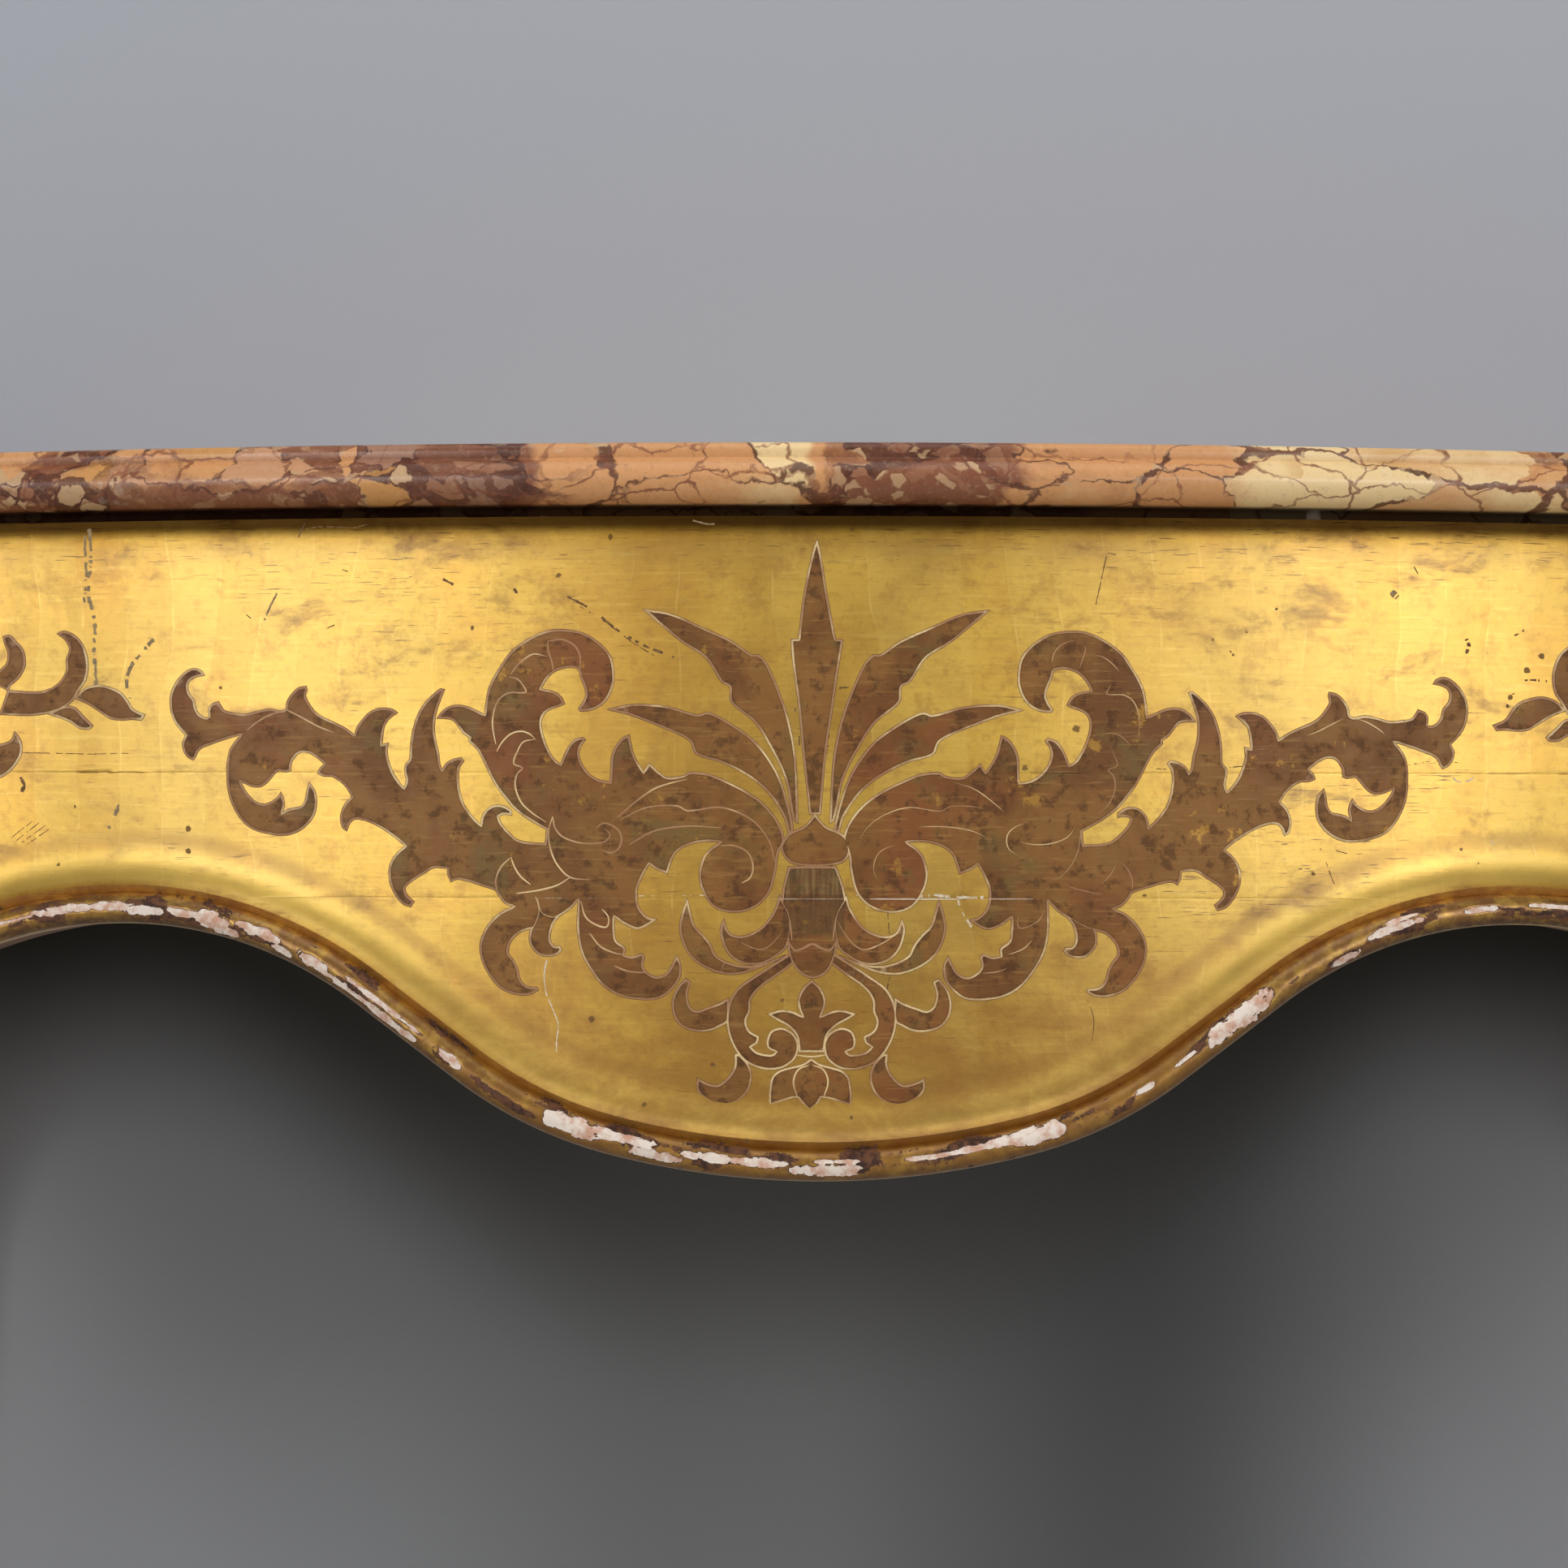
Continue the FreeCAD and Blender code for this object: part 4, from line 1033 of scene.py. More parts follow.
side_lower = [
    (-14, 916), (2, 917), (14, 912), (18, 902), (24, 910), (27, 922), (24, 934), (16, 946), (4, 956),
    (-12, 960), (-26, 956),
]
veins = [
    [(760, 1008), (783, 988), (806, 972), (826, 965), (847, 960)],
    [(764, 1010), (797, 995), (835, 993), (847, 999), (889, 995), (926, 1010), (947, 1035), (955, 1062)],
    [(775, 1041), (806, 1024), (847, 1018), (889, 1020)],
    [(681, 1006), (684, 1020), (692, 1030), (705, 1036), (719, 1039), (735, 1039), (747, 1036),
     (752, 1028), (745, 1021)],
    [(735, 1020), (743, 1014), (752, 1016), (763, 1024), (766, 1035), (762, 1046), (752, 1051), (743, 1048)],
    [(681, 1006), (676, 1025), (679, 1048), (688, 1067), (703, 1081), (728, 1084)],
    [(703, 1081), (686, 1091), (663, 1097), (636, 1101)],
    [(630, 1056), (617, 1069), (611, 1086), (614, 1102)],
    [(630, 1056), (634, 1068), (642, 1080), (654, 1090)],
    [(629, 831), (639, 818), (657, 806), (674, 809)],
    [(675, 790), (675, 800), (680, 816), (682, 827)],
    [(675, 790), (692, 788), (706, 794), (714, 806), (715, 824)],
    [(627, 834), (638, 837), (646, 847), (648, 853), (626, 854), (614, 863), (608, 879), (607, 895),
     (611, 917)],
    [(612, 926), (619, 914), (630, 904), (642, 901), (652, 904), (660, 911)],
    [(660, 911), (645, 914), (638, 925), (633, 941), (644, 946), (637, 954), (635, 969), (642, 988),
     (655, 1001), (673, 1013)],
    [(914, 1088), (924, 1082), (928, 1068), (922, 1051), (905, 1042), (889, 1042)],
    [(898, 1151), (917, 1163), (937, 1170), (950, 1164), (962, 1150), (973, 1131)],
    [(972, 1129), (974, 1140), (976, 1158)],
    [(716, 1110), (722, 1130), (736, 1140), (748, 1142), (750, 1130), (742, 1120)],
    [(727, 1150), (740, 1166), (757, 1174), (768, 1176)],
    [(757, 1190), (772, 1196), (786, 1198), (797, 1198)],
    [(972, 1160), (979, 1171), (990, 1168), (1000, 1163), (1011, 1168), (1022, 1171), (1031, 1160)],
    [(998, 1312), (984, 1318), (978, 1333), (983, 1352)],
    [(984, 1300), (1000, 1302), (1017, 1300)],
    [(352, 874), (372, 884), (392, 895), (412, 903)],
    [(352, 876), (335, 880), (318, 889), (304, 900)],
]
drop_leaf = [
    (656, 1100), (661, 1112), (663, 1124), (659, 1136), (654, 1147), (653, 1160), (658, 1170), (667, 1177),
    (678, 1178), (688, 1175), (692, 1170), (690, 1166), (683, 1166), (678, 1158), (679, 1146), (683, 1136),
    (690, 1128), (678, 1128), (668, 1122), (664, 1108),
]

# %% Curves through the strokes
spear_tip = (1006.5, 665)
axis_lean = 0.0107


def mirrored(line):
    """The same stroke on the other side. The axis leans and the right half is a little wider."""
    x, y = np.array(line, float).T
    axis = spear_tip[0] - (y - spear_tip[1]) * axis_lean
    away = axis - x
    swell = (away / 800) ** 2
    return np.stack([axis + away + 9 * swell, y + 12 * swell], 1)[::-1]


def smooth_line(line, closed=True, gap=3.0, corner=math.radians(58)):
    """Points about gap apart on a curve through a stroke's points, kept sharp at its corners."""
    line = np.array(line, float)
    keep = np.hypot(*(line - np.roll(line, 1, 0)).T) > 0.5
    line = line[keep]
    count = len(line)
    before, after = line - np.roll(line, 1, 0), np.roll(line, -1, 0) - line
    bend = np.abs(np.angle((after @ (1, 1j)) / (before @ (1, 1j))))
    sharp = bend > corner
    if not closed:
        sharp[[0, -1]] = True
    size = np.hypot(*after.T)
    parts = []
    for i in range(count if closed else count - 1):
        j = (i + 1) % count
        a, b, span = line[i], line[j], size[i]
        start = (b - line[i - 1]) * span / (span + size[i - 1])
        end = (line[(j + 1) % count] - a) * span / (span + size[j])
        start = b - a if sharp[i] else start
        end = b - a if sharp[j] else end
        steps = max(1, round(span / gap))
        parts.append(bridge(a, start, b, end, (np.arange(steps) / steps)[:, None]))
    if not closed:
        parts.append(line[-1:])
    return np.concatenate(parts)


def turned_area(line):
    """Twice the area inside a line, positive if it runs anticlockwise."""
    x, y = line.T
    return float(np.sum(x * np.roll(y, -1) - np.roll(x, -1) * y))


def set_in(line, gap):
    """The line moved inwards by gap, or outwards if gap is negative."""
    ahead, behind = np.roll(line, -1, 0) - line, line - np.roll(line, 1, 0)
    ahead, behind = (part / np.maximum(np.hypot(*part.T), 1e-9)[:, None] for part in (ahead, behind))
    normal = np.stack([-(ahead + behind)[:, 1], (ahead + behind)[:, 0]], 1) / 2
    size = np.hypot(*normal.T)[:, None]
    normal = normal / np.maximum(size, 0.2) / np.maximum(size, 0.6)
    return line + normal * gap * (1 if turned_area(line) > 0 else -1)


def gap_to(line, points):
    """How far points lie inside a closed line, negative outside it."""
    ends = np.roll(line, -1, 0)
    found = np.empty(len(points))
    for first in range(0, len(points), 2000):
        some = points[first : first + 2000, None]
        along = np.clip(np.sum((some - line) * (ends - line), -1) / np.sum((ends - line) ** 2, -1), 0, 1)
        away = np.min(np.hypot(*np.moveaxis(some - line - along[..., None] * (ends - line), -1, 0)), -1)
        above = (line[:, 1] > some[..., 1]) != (ends[:, 1] > some[..., 1])
        rise = np.where(ends[:, 1] == line[:, 1], 1, ends[:, 1] - line[:, 1])
        cross = line[:, 0] + (some[..., 1] - line[:, 1]) * (ends[:, 0] - line[:, 0]) / rise
        inside = np.sum(above & (some[..., 0] < cross), -1) % 2 == 1
        found[first : first + 2000] = np.where(inside, away, -away)
    return found


# %% [markdown]
# A sheet of inlay is a flat triangulation of one stroke, laid on the apron's face. Rings of points follow
# the edge closely, so that its slope, its rim and the cut line each get their own row. How far a point
# lies inside the edge sets its height there, and goes to the finish as an attribute.

# %% Inlay sheets
rim_rings = (-1.1, -0.3, 0.5, 1.3, 2.2)
cut_line = 0.5
front_lines = (lower_glue_line, upper_glue_line)


def inlay_sheet(line, spacing):
    """Flat points, triangles and edge gaps of a stroke, with its outermost ring first."""
    line, grid = smooth_line(line, gap=spacing), 2.6 * spacing
    low, high = line.min(0), line.max(0)
    x, y = np.meshgrid(np.arange(low[0], high[0], grid), np.arange(low[1], high[1], grid * 0.866))
    x = x + (np.arange(x.shape[0]) % 2)[:, None] * grid / 2
    inner = np.stack([x.ravel(), y.ravel()], 1)
    inner = inner[gap_to(line, inner) > rim_rings[-1] + 0.35 * grid]
    points = np.concatenate([*(set_in(line, gap) for gap in rim_rings), inner])
    count = len(line)
    ring = range(count)
    edges = [(r * count + a, r * count + (a + 1) % count) for r in range(1, len(rim_rings)) for a in ring]
    outer = list(ring if turned_area(line) > 0 else reversed(ring))
    found, _, faces, *_ = delaunay_2d_cdt([Vector(point) for point in points], edges, [outer], 1, 0.02)
    found = np.array([tuple(point) for point in found])
    return found, [list(face) for face in faces], gap_to(line, found)


def inlay_piece(name, strokes, place, spacing=3.2):
    """Closed sheets for all those strokes, each laid a hair above the one before."""
    points, faces, gaps = [], [], []
    base = 0
    for number, line in enumerate(strokes):
        flat, triangles, gap = inlay_sheet(line, spacing)
        rise = 0.00022 + 0.00002 * (number % 5)
        slope = step(gap, rim_rings[0], cut_line)
        cut = np.exp(-(((gap - cut_line) / 0.7) ** 2))
        points.append(place(flat, 0.00003 + rise * slope - 0.00016 * cut * slope))
        points.append(place(flat, -0.0003 + 0 * slope))
        edges = dict.fromkeys((a, b) for face in triangles for a, b in zip(face, face[1:] + face[:1]))
        rim = [(a, b) for a, b in edges if (b, a) not in edges]
        count = len(flat)
        faces += [[base + a for a in face] for face in triangles]
        faces += [[base + count + a for a in reversed(face)] for face in triangles]
        faces += [[base + b, base + a, base + count + a, base + count + b] for a, b in rim]
        gaps += [gap, gap - 9]
        base += 2 * count
    zero = np.zeros(base)
    values = {"edge_gap": np.concatenate(gaps), "across": zero + 0.05, "bare": zero}
    piece = new_piece(name, np.concatenate(points), faces, values, 60.0)
    with editing(piece.data) as work:
        slice_round_lines(work, front_lines, (-groove_half_width, 0, groove_half_width))
    press_glue_lines(piece, front_lines, (0.0, 0.0, 0.0), 7)
    print(name, len(piece.data.polygons), "faces")
    return piece


def on_front(flat, forward):
    """Points of the drawing laid on the front apron."""
    distance, height = cast_to_front(*np.asarray(flat, float).T)
    base = front_face.at(distance, 0, height)
    return front_face.at(distance, forward + hand_made(base), height)


both_sides = [scroll, lower_leaf, upper_leaf, outer_spray, inner_spray, stem, hook, tail, drop_leaf]
middle = [spear, boss, cup, lily, bud]
ornament = [*both_sides, *map(mirrored, both_sides), *middle]
inlays = [inlay_piece("front_inlay", ornament, on_front)]

# %% [markdown]
# Towards each leg stands one more spray, half of it outside the picture. It is drawn from its visible
# half, turned over about its own stem, with a small copy of the middle leaves on top. The side aprons
# carry the middle ornament again at a smaller size.

# %% Inlay towards the legs and on the sides
end_strokes = [side_hook, side_stem, side_leaf, side_leaflet, side_lower]
spray_axis, spray_height = -95.0, 884
side_scale = 0.42 * metres_per_pixel
side_middle_height = 0.787


def turned_over(line):
    x, y = np.array(line, float).T
    return np.stack([2 * spray_axis - x, y], 1)[::-1]


def small_palmette(line):
    return [(spray_axis + 0.34 * (x - 1006), spray_height + 0.34 * (y - 1045)) for x, y in line]


palmette = [spear, boss, cup, upper_leaf, mirrored(upper_leaf), lower_leaf, mirrored(lower_leaf)]
left_end = [*end_strokes, *map(turned_over, end_strokes), *map(small_palmette, palmette)]
inlays.append(inlay_piece("left_end_inlay", left_end, on_front))
inlays.append(inlay_piece("right_end_inlay", list(map(mirrored, left_end)), on_front))


def on_side(hand):
    """A way to lay the drawing on a side apron, at a smaller size."""

    def place(flat, forward):
        x, y = np.asarray(flat, float).T
        distance, height = (x - 1003.0) * side_scale, side_middle_height - (y - 1020.0) * side_scale
        base = side_faces[hand].at(distance, 0, height)
        return side_faces[hand].at(distance, forward + hand_made(base), height)

    return place


for hand, side_name in hands.items():
    inlays.append(inlay_piece(f"{side_name}_side_inlay", ornament, on_side(hand), spacing=7.0))

# %% [markdown]
# ## The veins of the leaves
# The engraver's lines inside the leaves follow a path, so Geometry Nodes sweep them. The lines start as
# bare edges. The tree turns them into curves, sweeps a flattened round along them with its flat side to
# the face, and gives them their material. One number widens every line at once.

# %% Vein tree
def vein_tree():
    """A tree that sweeps a flattened round along edges."""
    tree = bpy.data.node_groups.new("engraved lines", "GeometryNodeTree")
    for label, kind, way in (
        ("Geometry", "Geometry", "INPUT"), ("Line Width", "Float", "INPUT"),
        ("Line Height", "Float", "INPUT"), ("Finish", "Material", "INPUT"),
        ("Geometry", "Geometry", "OUTPUT"),
    ):
        tree.interface.new_socket(label, in_out=way, socket_type=f"NodeSocket{kind}")

    def add(kind, inputs=None, **settings):
        node = tree.nodes.new(kind)
        for key, value in settings.items():
            setattr(node, key, value)
        for key, value in (inputs or {}).items():
            if isinstance(value, bpy.types.NodeSocket):
                tree.links.new(value, node.inputs[key])
            else:
                node.inputs[key].default_value = value
        return node.outputs

    enter = add("NodeGroupInput")
    facing = add("GeometryNodeInputNamedAttribute", {"Name": "facing"}, data_type="FLOAT_VECTOR")["Attribute"]
    taper = add("GeometryNodeInputNamedAttribute", {"Name": "taper"}, data_type="FLOAT")["Attribute"]
    lines = add("GeometryNodeMeshToCurve", {"Mesh": enter["Geometry"]})["Curve"]
    lines = add("GeometryNodeSetCurveNormal", {"Curve": lines, "Normal": facing}, mode="FREE")["Curve"]
    circle = add("GeometryNodeCurvePrimitiveCircle", {"Resolution": 6, "Radius": 0.5})["Curve"]
    size = add("ShaderNodeCombineXYZ", {"X": enter["Line Height"], "Y": enter["Line Width"]})["Vector"]
    section = add("GeometryNodeTransform", {"Geometry": circle, "Scale": size})["Geometry"]
    sweep = {"Curve": lines, "Profile Curve": section, "Scale": taper, "Fill Caps": True}
    found = add("GeometryNodeCurveToMesh", sweep)["Mesh"]
    found = add("GeometryNodeRealizeInstances", {"Geometry": found})["Geometry"]
    found = add("GeometryNodeSetMaterial", {"Geometry": found, "Material": enter["Finish"]})["Geometry"]
    add("NodeGroupOutput", {"Geometry": found})
    return tree


def run_tree(piece, tree, inputs):
    """Run a tree on a piece and keep the result as its plain mesh."""
    modifier = piece.modifiers.new(tree.name, "NODES")
    modifier.node_group = tree
    for item in tree.interface.items_tree:
        if item.in_out == "INPUT" and item.name in inputs:
            modifier[item.identifier] = inputs[item.name]
    graph = bpy.context.evaluated_depsgraph_get()
    done = piece.evaluated_get(graph)
    mesh = bpy.data.meshes.new_from_object(done, preserve_all_data_layers=True, depsgraph=graph)
    piece.modifiers.clear()
    old, piece.data = piece.data, mesh
    bpy.data.meshes.remove(old)
    finish_mesh(piece, 60.0)
    print(piece.name, len(mesh.polygons), "faces")
    return piece


vein_nodes = vein_tree()


def swept(name, runs, rise, height, finish):
    """Lines swept along the front. A run is points in the picture, how wide at each, and which are kept."""
    points, edges, tapers = [], [], []
    base = 0
    for flat, taper, kept in runs:
        points.append(on_front(flat, np.full(len(flat), rise)))
        tapers.append(taper)
        edges += [(base + i, base + i + 1) for i in range(len(flat) - 1) if kept[i] and kept[i + 1]]
        base += len(flat)
    mesh = bpy.data.meshes.new(name)
    mesh.from_pydata(np.concatenate(points), edges, [])
    store(mesh, "taper", np.concatenate(tapers))
    store(mesh, "facing", np.tile(front_outward, (base, 1)))
    inputs = {"Line Width": 1.0, "Line Height": height, "Finish": finish}
    return run_tree(add_object(name, mesh), vein_nodes, inputs)


engraved_gold = bpy.data.materials.new("engraved line")
vein_width = 0.00085
vein_runs = []
for line in [*veins, *map(mirrored, veins)]:
    flat = smooth_line(line, closed=False, gap=4.0, corner=3.0)
    taper = 0.35 + 0.65 * np.sin(np.pi * np.linspace(0, 1, len(flat))) ** 0.5
    vein_runs.append((flat, vein_width * taper, np.ones(len(flat), bool)))
relief_lines = [swept("front_veins", vein_runs, 0.00026, 0.22, engraved_gold)]

# %% [markdown]
# Knocks and cracks are lines too, so the same tree draws them. Each is broken up by noise, because a
# scratch skips and a crack closes. Brown ones have gone down to the clay, pale ones to the gesso.

# %% Scratches and cracks
# Kind, width in millimetres, how much of it is left, and its places in the picture
scars = [
    ("brown", 1.3, 0.60, [(699, 735), (730, 752), (760, 776), (795, 796), (831, 810)]),
    ("brown", 0.5, 0.60, [(705, 742), (742, 764), (780, 792), (806, 808)]),
    ("grey", 1.1, 0.95, [(341, 731), (333, 747), (325, 764)]),
    ("grey", 2.3, 0.62, [(110, 652), (112, 690), (109, 730), (117, 765), (116, 800), (119, 845)]),
    ("grey", 1.6, 0.60, [(104, 660), (106, 700), (104, 742)]),
    ("grey", 2.2, 0.66, [(189, 788), (176, 802), (163, 820), (156, 838), (160, 860)]),
    ("grey", 2.4, 0.66, [(147, 992), (141, 1006), (134, 1021)]),
    ("brown", 0.5, 0.70, [(10, 927), (60, 928), (110, 929), (158, 928)]),
    ("brown", 0.7, 0.90, [(376, 644), (371, 654), (367, 662)]),
    ("brown", 0.6, 0.80, [(371, 654), (392, 649), (436, 650), (452, 646)]),
    ("brown", 0.6, 0.85, [(398, 781), (404, 774), (412, 770)]),
    ("brown", 2.2, 0.55, [(26, 958), (30, 968), (27, 976)]),
    ("brown", 0.4, 0.75, [(14, 1032), (40, 1012)]),
    ("brown", 0.4, 0.75, [(20, 1036), (48, 1014)]),
    ("brown", 0.4, 0.75, [(27, 1038), (56, 1017)]),
    ("brown", 0.4, 0.65, [(34, 1040), (60, 1022)]),
    ("brown", 0.8, 0.80, [(419, 701), (428, 704)]),
    ("brown", 1.5, 0.70, [(546, 714), (556, 719), (562, 724)]),
    ("brown", 1.3, 0.90, [(633, 725), (637, 731)]),
    ("brown", 0.5, 0.90, [(303, 757), (309, 762)]),
    ("brown", 0.5, 0.85, [(1350, 745), (1357, 713), (1365, 682), (1374, 684)]),
    ("brown", 0.9, 0.90, [(1742, 698), (1747, 707)]),
    ("brown", 2.2, 0.50, [(1806, 787), (1809, 795), (1806, 805)]),
    ("brown", 1.1, 0.70, [(1866, 783), (1878, 777)]),
    ("grey", 3.2, 0.60, [(1714, 729), (1721, 736)]),
    ("brown", 1.0, 0.85, [(1513, 799), (1520, 808)]),
    ("brown", 0.9, 0.80, [(1571, 751), (1574, 750)]),
    ("brown", 0.5, 0.55, [(1372, 948), (1420, 947), (1470, 949), (1540, 944), (1600, 946)]),
    ("brown", 0.4, 0.60, [(1735, 943), (1765, 938), (1800, 940)]),
    ("pale", 0.9, 0.75, [(1786, 950), (1794, 962), (1806, 963), (1816, 958)]),
    ("brown", 0.5, 0.62, [(1622, 1033), (1633, 1060), (1645, 1092), (1650, 1101), (1640, 1108)]),
    ("brown", 0.4, 0.60, [(1650, 1100), (1610, 1122), (1560, 1146)]),
    ("pale", 0.7, 0.55, [(1838, 1036), (1843, 1052), (1848, 1062)]),
    ("brown", 0.5, 0.85, [(1600, 1071), (1615, 1070)]),
    ("brown", 0.5, 0.80, [(1646, 1048), (1660, 1052)]),
    ("brown", 2.4, 0.45, [(1860, 842), (1864, 858), (1857, 872), (1860, 882)]),
    ("brown", 1.4, 0.45, [(1872, 838), (1890, 838), (1910, 840)]),
    ("brown", 0.5, 0.75, [(1780, 1062), (1810, 1050), (1850, 1046), (1880, 1052)]),
    ("brown", 1.0, 0.45, [(1020, 852), (1018, 875), (1021, 905), (1019, 930)]),
    ("brown", 0.8, 0.85, [(1034, 848), (1046, 847)]),
    ("brown", 0.9, 0.45, [(979, 870), (984, 900), (985, 925)]),
    (
        "pale", 0.8, 0.80,
        [(674, 1183), (671, 1200), (673, 1222), (680, 1240), (688, 1262), (686, 1285), (687, 1308)],
    ),
    ("pale", 0.9, 0.70, [(663, 1108), (669, 1125), (664, 1140), (660, 1158)]),
    ("brown", 0.5, 0.90, [(1097, 1098), (1094, 1120), (1096, 1150)]),
    (
        "brown", 0.6, 0.80,
        [(1097, 1200), (1092, 1230), (1094, 1262), (1090, 1300), (1093, 1345), (1087, 1392)],
    ),
    ("pale", 1.1, 0.72, [(1180, 1108), (1185, 1122), (1192, 1134), (1197, 1142)]),
    ("brown", 0.4, 0.70, [(1340, 1232), (1348, 1255), (1346, 1282)]),
    ("pale", 0.5, 0.45, [(640, 1103), (760, 1104), (900, 1103), (1058, 1103)]),
    ("pale", 1.5, 0.62, [(1062, 1103), (1090, 1100), (1118, 1105), (1150, 1103), (1180, 1106), (1212, 1106)]),
    ("grey", 0.9, 0.90, [(853, 641), (868, 645), (880, 646)]),
]
scar_finishes = {kind: bpy.data.materials.new(f"{kind} scar") for kind in ("brown", "grey", "pale")}
for kind, finish in scar_finishes.items():
    runs = []
    for number, (its_kind, width, left, line) in enumerate(scars):
        if its_kind == kind:
            flat = smooth_line(line, closed=False, gap=1.3, corner=3.0)
            spread = np.stack([flat[:, 0], flat[:, 1], 0 * flat[:, 0] + number], 1)
            flat = flat + 0.9 * width * (cloud(spread[:, [1, 0, 2]], 3.5, number)[:, None] - 0.5)
            chance = 0.6 * cloud(spread, 5.0, 50 + number) + 0.4 * cloud(spread, 2.2, 90 + number)
            wide = 0.45 + 0.9 * cloud(spread, 3.0, 70 + number)
            runs.append((flat, width * 0.001 * wide, chance < 0.18 + 0.62 * left))
    relief_lines.append(swept(f"front_{kind}_scars", runs, 0.00007, 0.10, finish))

# %% [markdown]
# ## Finishes
# Every finish is a small graph of nodes. Three small classes keep each step to one short call, so a recipe
# reads as a list of coats: the gold, its brushing and stains, glaze, smoke, painted shade and painted
# highlight, and then the losses down to clay, gesso and wood. Patterns stand on Object coordinates or on
# values stored with the mesh, so they stay put in any view.

# %% A graph and a finish
class Value:
    """A number, or a colour, that a graph works out. A sum with it adds a node to the graph."""

    def __init__(self, graph, socket):
        self.graph, self.socket = graph, socket

    def __add__(self, other):
        return self.graph.sum("ADD", self, other)

    def __sub__(self, other):
        return self.graph.sum("SUBTRACT", self, other)

    def __rsub__(self, other):
        return self.graph.sum("SUBTRACT", other, self)

    def __mul__(self, other):
        return self.graph.sum("MULTIPLY", self, other)

    def __abs__(self):
        return self.graph.sum("ABSOLUTE", self)


class Graph:
    """A shader's graph made by short calls. Each call returns what the next one can use."""

    def __init__(self, tree):
        self.tree = tree
        tree.nodes.clear()

    def add(self, kind, settings=None, **sockets):
        node = self.tree.nodes.new(kind)
        for key, value in (settings or {}).items():
            setattr(node, key, value)
        for key, value in sockets.items():
            self.feed(node.inputs[key.replace("_", " ")], value)
        return node

    def feed(self, socket, value):
        value = getattr(value, "socket", value)
        if isinstance(value, bpy.types.NodeSocket):
            self.tree.links.new(value, socket)
        elif isinstance(value, tuple) and socket.type == "RGBA":
            socket.default_value = (*value, 1.0)
        else:
            socket.default_value = value

    def fed(self, kind, values, **settings):
        """A node whose inputs take values in their own order, or by number. Returns its outputs."""
        node = self.add(kind, settings)
        for key, value in values.items() if isinstance(values, dict) else enumerate(values):
            self.feed(node.inputs[key], value)
        return [Value(self, output) for output in node.outputs]

    def sum(self, operation, *values):
        return self.fed("ShaderNodeMath", values, operation=operation)[0]

    def push(self, vector, times, plus):
        """A vector, times a vector, plus a vector."""
        return self.fed("ShaderNodeVectorMath", (vector, times, plus), operation="MULTIPLY_ADD")[0]

    def parts(self, vector):
        return self.fed("ShaderNodeSeparateXYZ", (vector,))

    def channels(self, colour):
        return self.fed("ShaderNodeSeparateColor", (colour,))

    def stretch(self, place, scale, shift=(0.0, 0.0, 0.0)):
        node = self.add("ShaderNodeMapping", Vector=place, Scale=scale, Location=shift)
        return Value(self, node.outputs[0])

    def noise(self, place, scale, detail=4.0, rough=0.55, warp=0.0, colour=False):
        """Noise at a place. scale is lumps per metre, or a vector of them, one per axis."""
        if isinstance(scale, tuple):
            place, scale = self.stretch(place, scale), 1.0
        node = self.add(
            "ShaderNodeTexNoise", Vector=place, Scale=scale, Detail=detail, Roughness=rough, Distortion=warp
        )
        return Value(self, node.outputs["Color" if colour else "Fac"])

    def cells(self, place, scale):
        """How far a place is from the middle of its cell, and the cell's three chances."""
        node = self.add("ShaderNodeTexVoronoi", Vector=place, Scale=scale)
        return Value(self, node.outputs["Distance"]), self.channels(node.outputs["Color"])

    def cell_edge(self, place, scale):
        """How far a place is from the edge of its cell."""
        node = self.add("ShaderNodeTexVoronoi", {"feature": "DISTANCE_TO_EDGE"}, Vector=place, Scale=scale)
        return Value(self, node.outputs["Distance"])

    def fade(self, value, low, high, start=0.0, end=1.0, how="SMOOTHSTEP"):
        """start below low, end above high, and smooth or straight between."""
        return self.fed("ShaderNodeMapRange", (value, low, high, start, end), interpolation_type=how)[0]

    def band(self, value, low, full, full_end, high):
        """1 from full to full_end, and 0 below low and above high."""
        return self.fade(value, low, full) * self.fade(value, high, full_end)

    def blend(self, share, a, b):
        return self.fed("ShaderNodeMix", {0: share, 6: a, 7: b}, data_type="RGBA")[2]

    def mix_shaders(self, share, a, b):
        return self.fed("ShaderNodeMixShader", (share, a, b))[0]


class Finish(Graph):
    """A material. Its tone is built up coat by coat."""

    def __init__(self, name, material=None):
        self.material = material or bpy.data.materials.new(name)
        self.material.use_nodes = True
        super().__init__(self.material.node_tree)
        self.output = self.add("ShaderNodeOutputMaterial")
        self.shader = self.add("ShaderNodeBsdfPrincipled")
        self.feed(self.output.inputs["Surface"], self.shader.outputs[0])
        self.place = self.add("ShaderNodeTexCoord").outputs["Object"]
        self.x, self.y, self.z = self.parts(self.place)
        self.tone = None

    def value(self, name, output="Fac"):
        """A number stored with the mesh, or a Vector."""
        return Value(self, self.add("ShaderNodeAttribute", {"attribute_name": name}).outputs[output])

    def lay(self, share, colour):
        """Lay one more coat of colour, where share is above 0."""
        self.tone = self.blend(share, self.tone, colour)

    def relief(self, height, distance, strength=1.0, **normal):
        node = self.add("ShaderNodeBump", Height=height, Distance=distance, Strength=strength, **normal)
        return Value(self, node.outputs[0])

    def shade(self, **sockets):
        for key, value in {"Base_Color": self.tone, **sockets}.items():
            self.feed(self.shader.inputs[key.replace("_", " ")], value)
        return self.material


def rgb(red, green, blue):
    """A colour as it is read off a picture, from 0 to 255, made linear for the shader."""
    return tuple(((c / 255 + 0.055) / 1.055) ** 2.4 if c > 10 else c / 3295 for c in (red, green, blue))


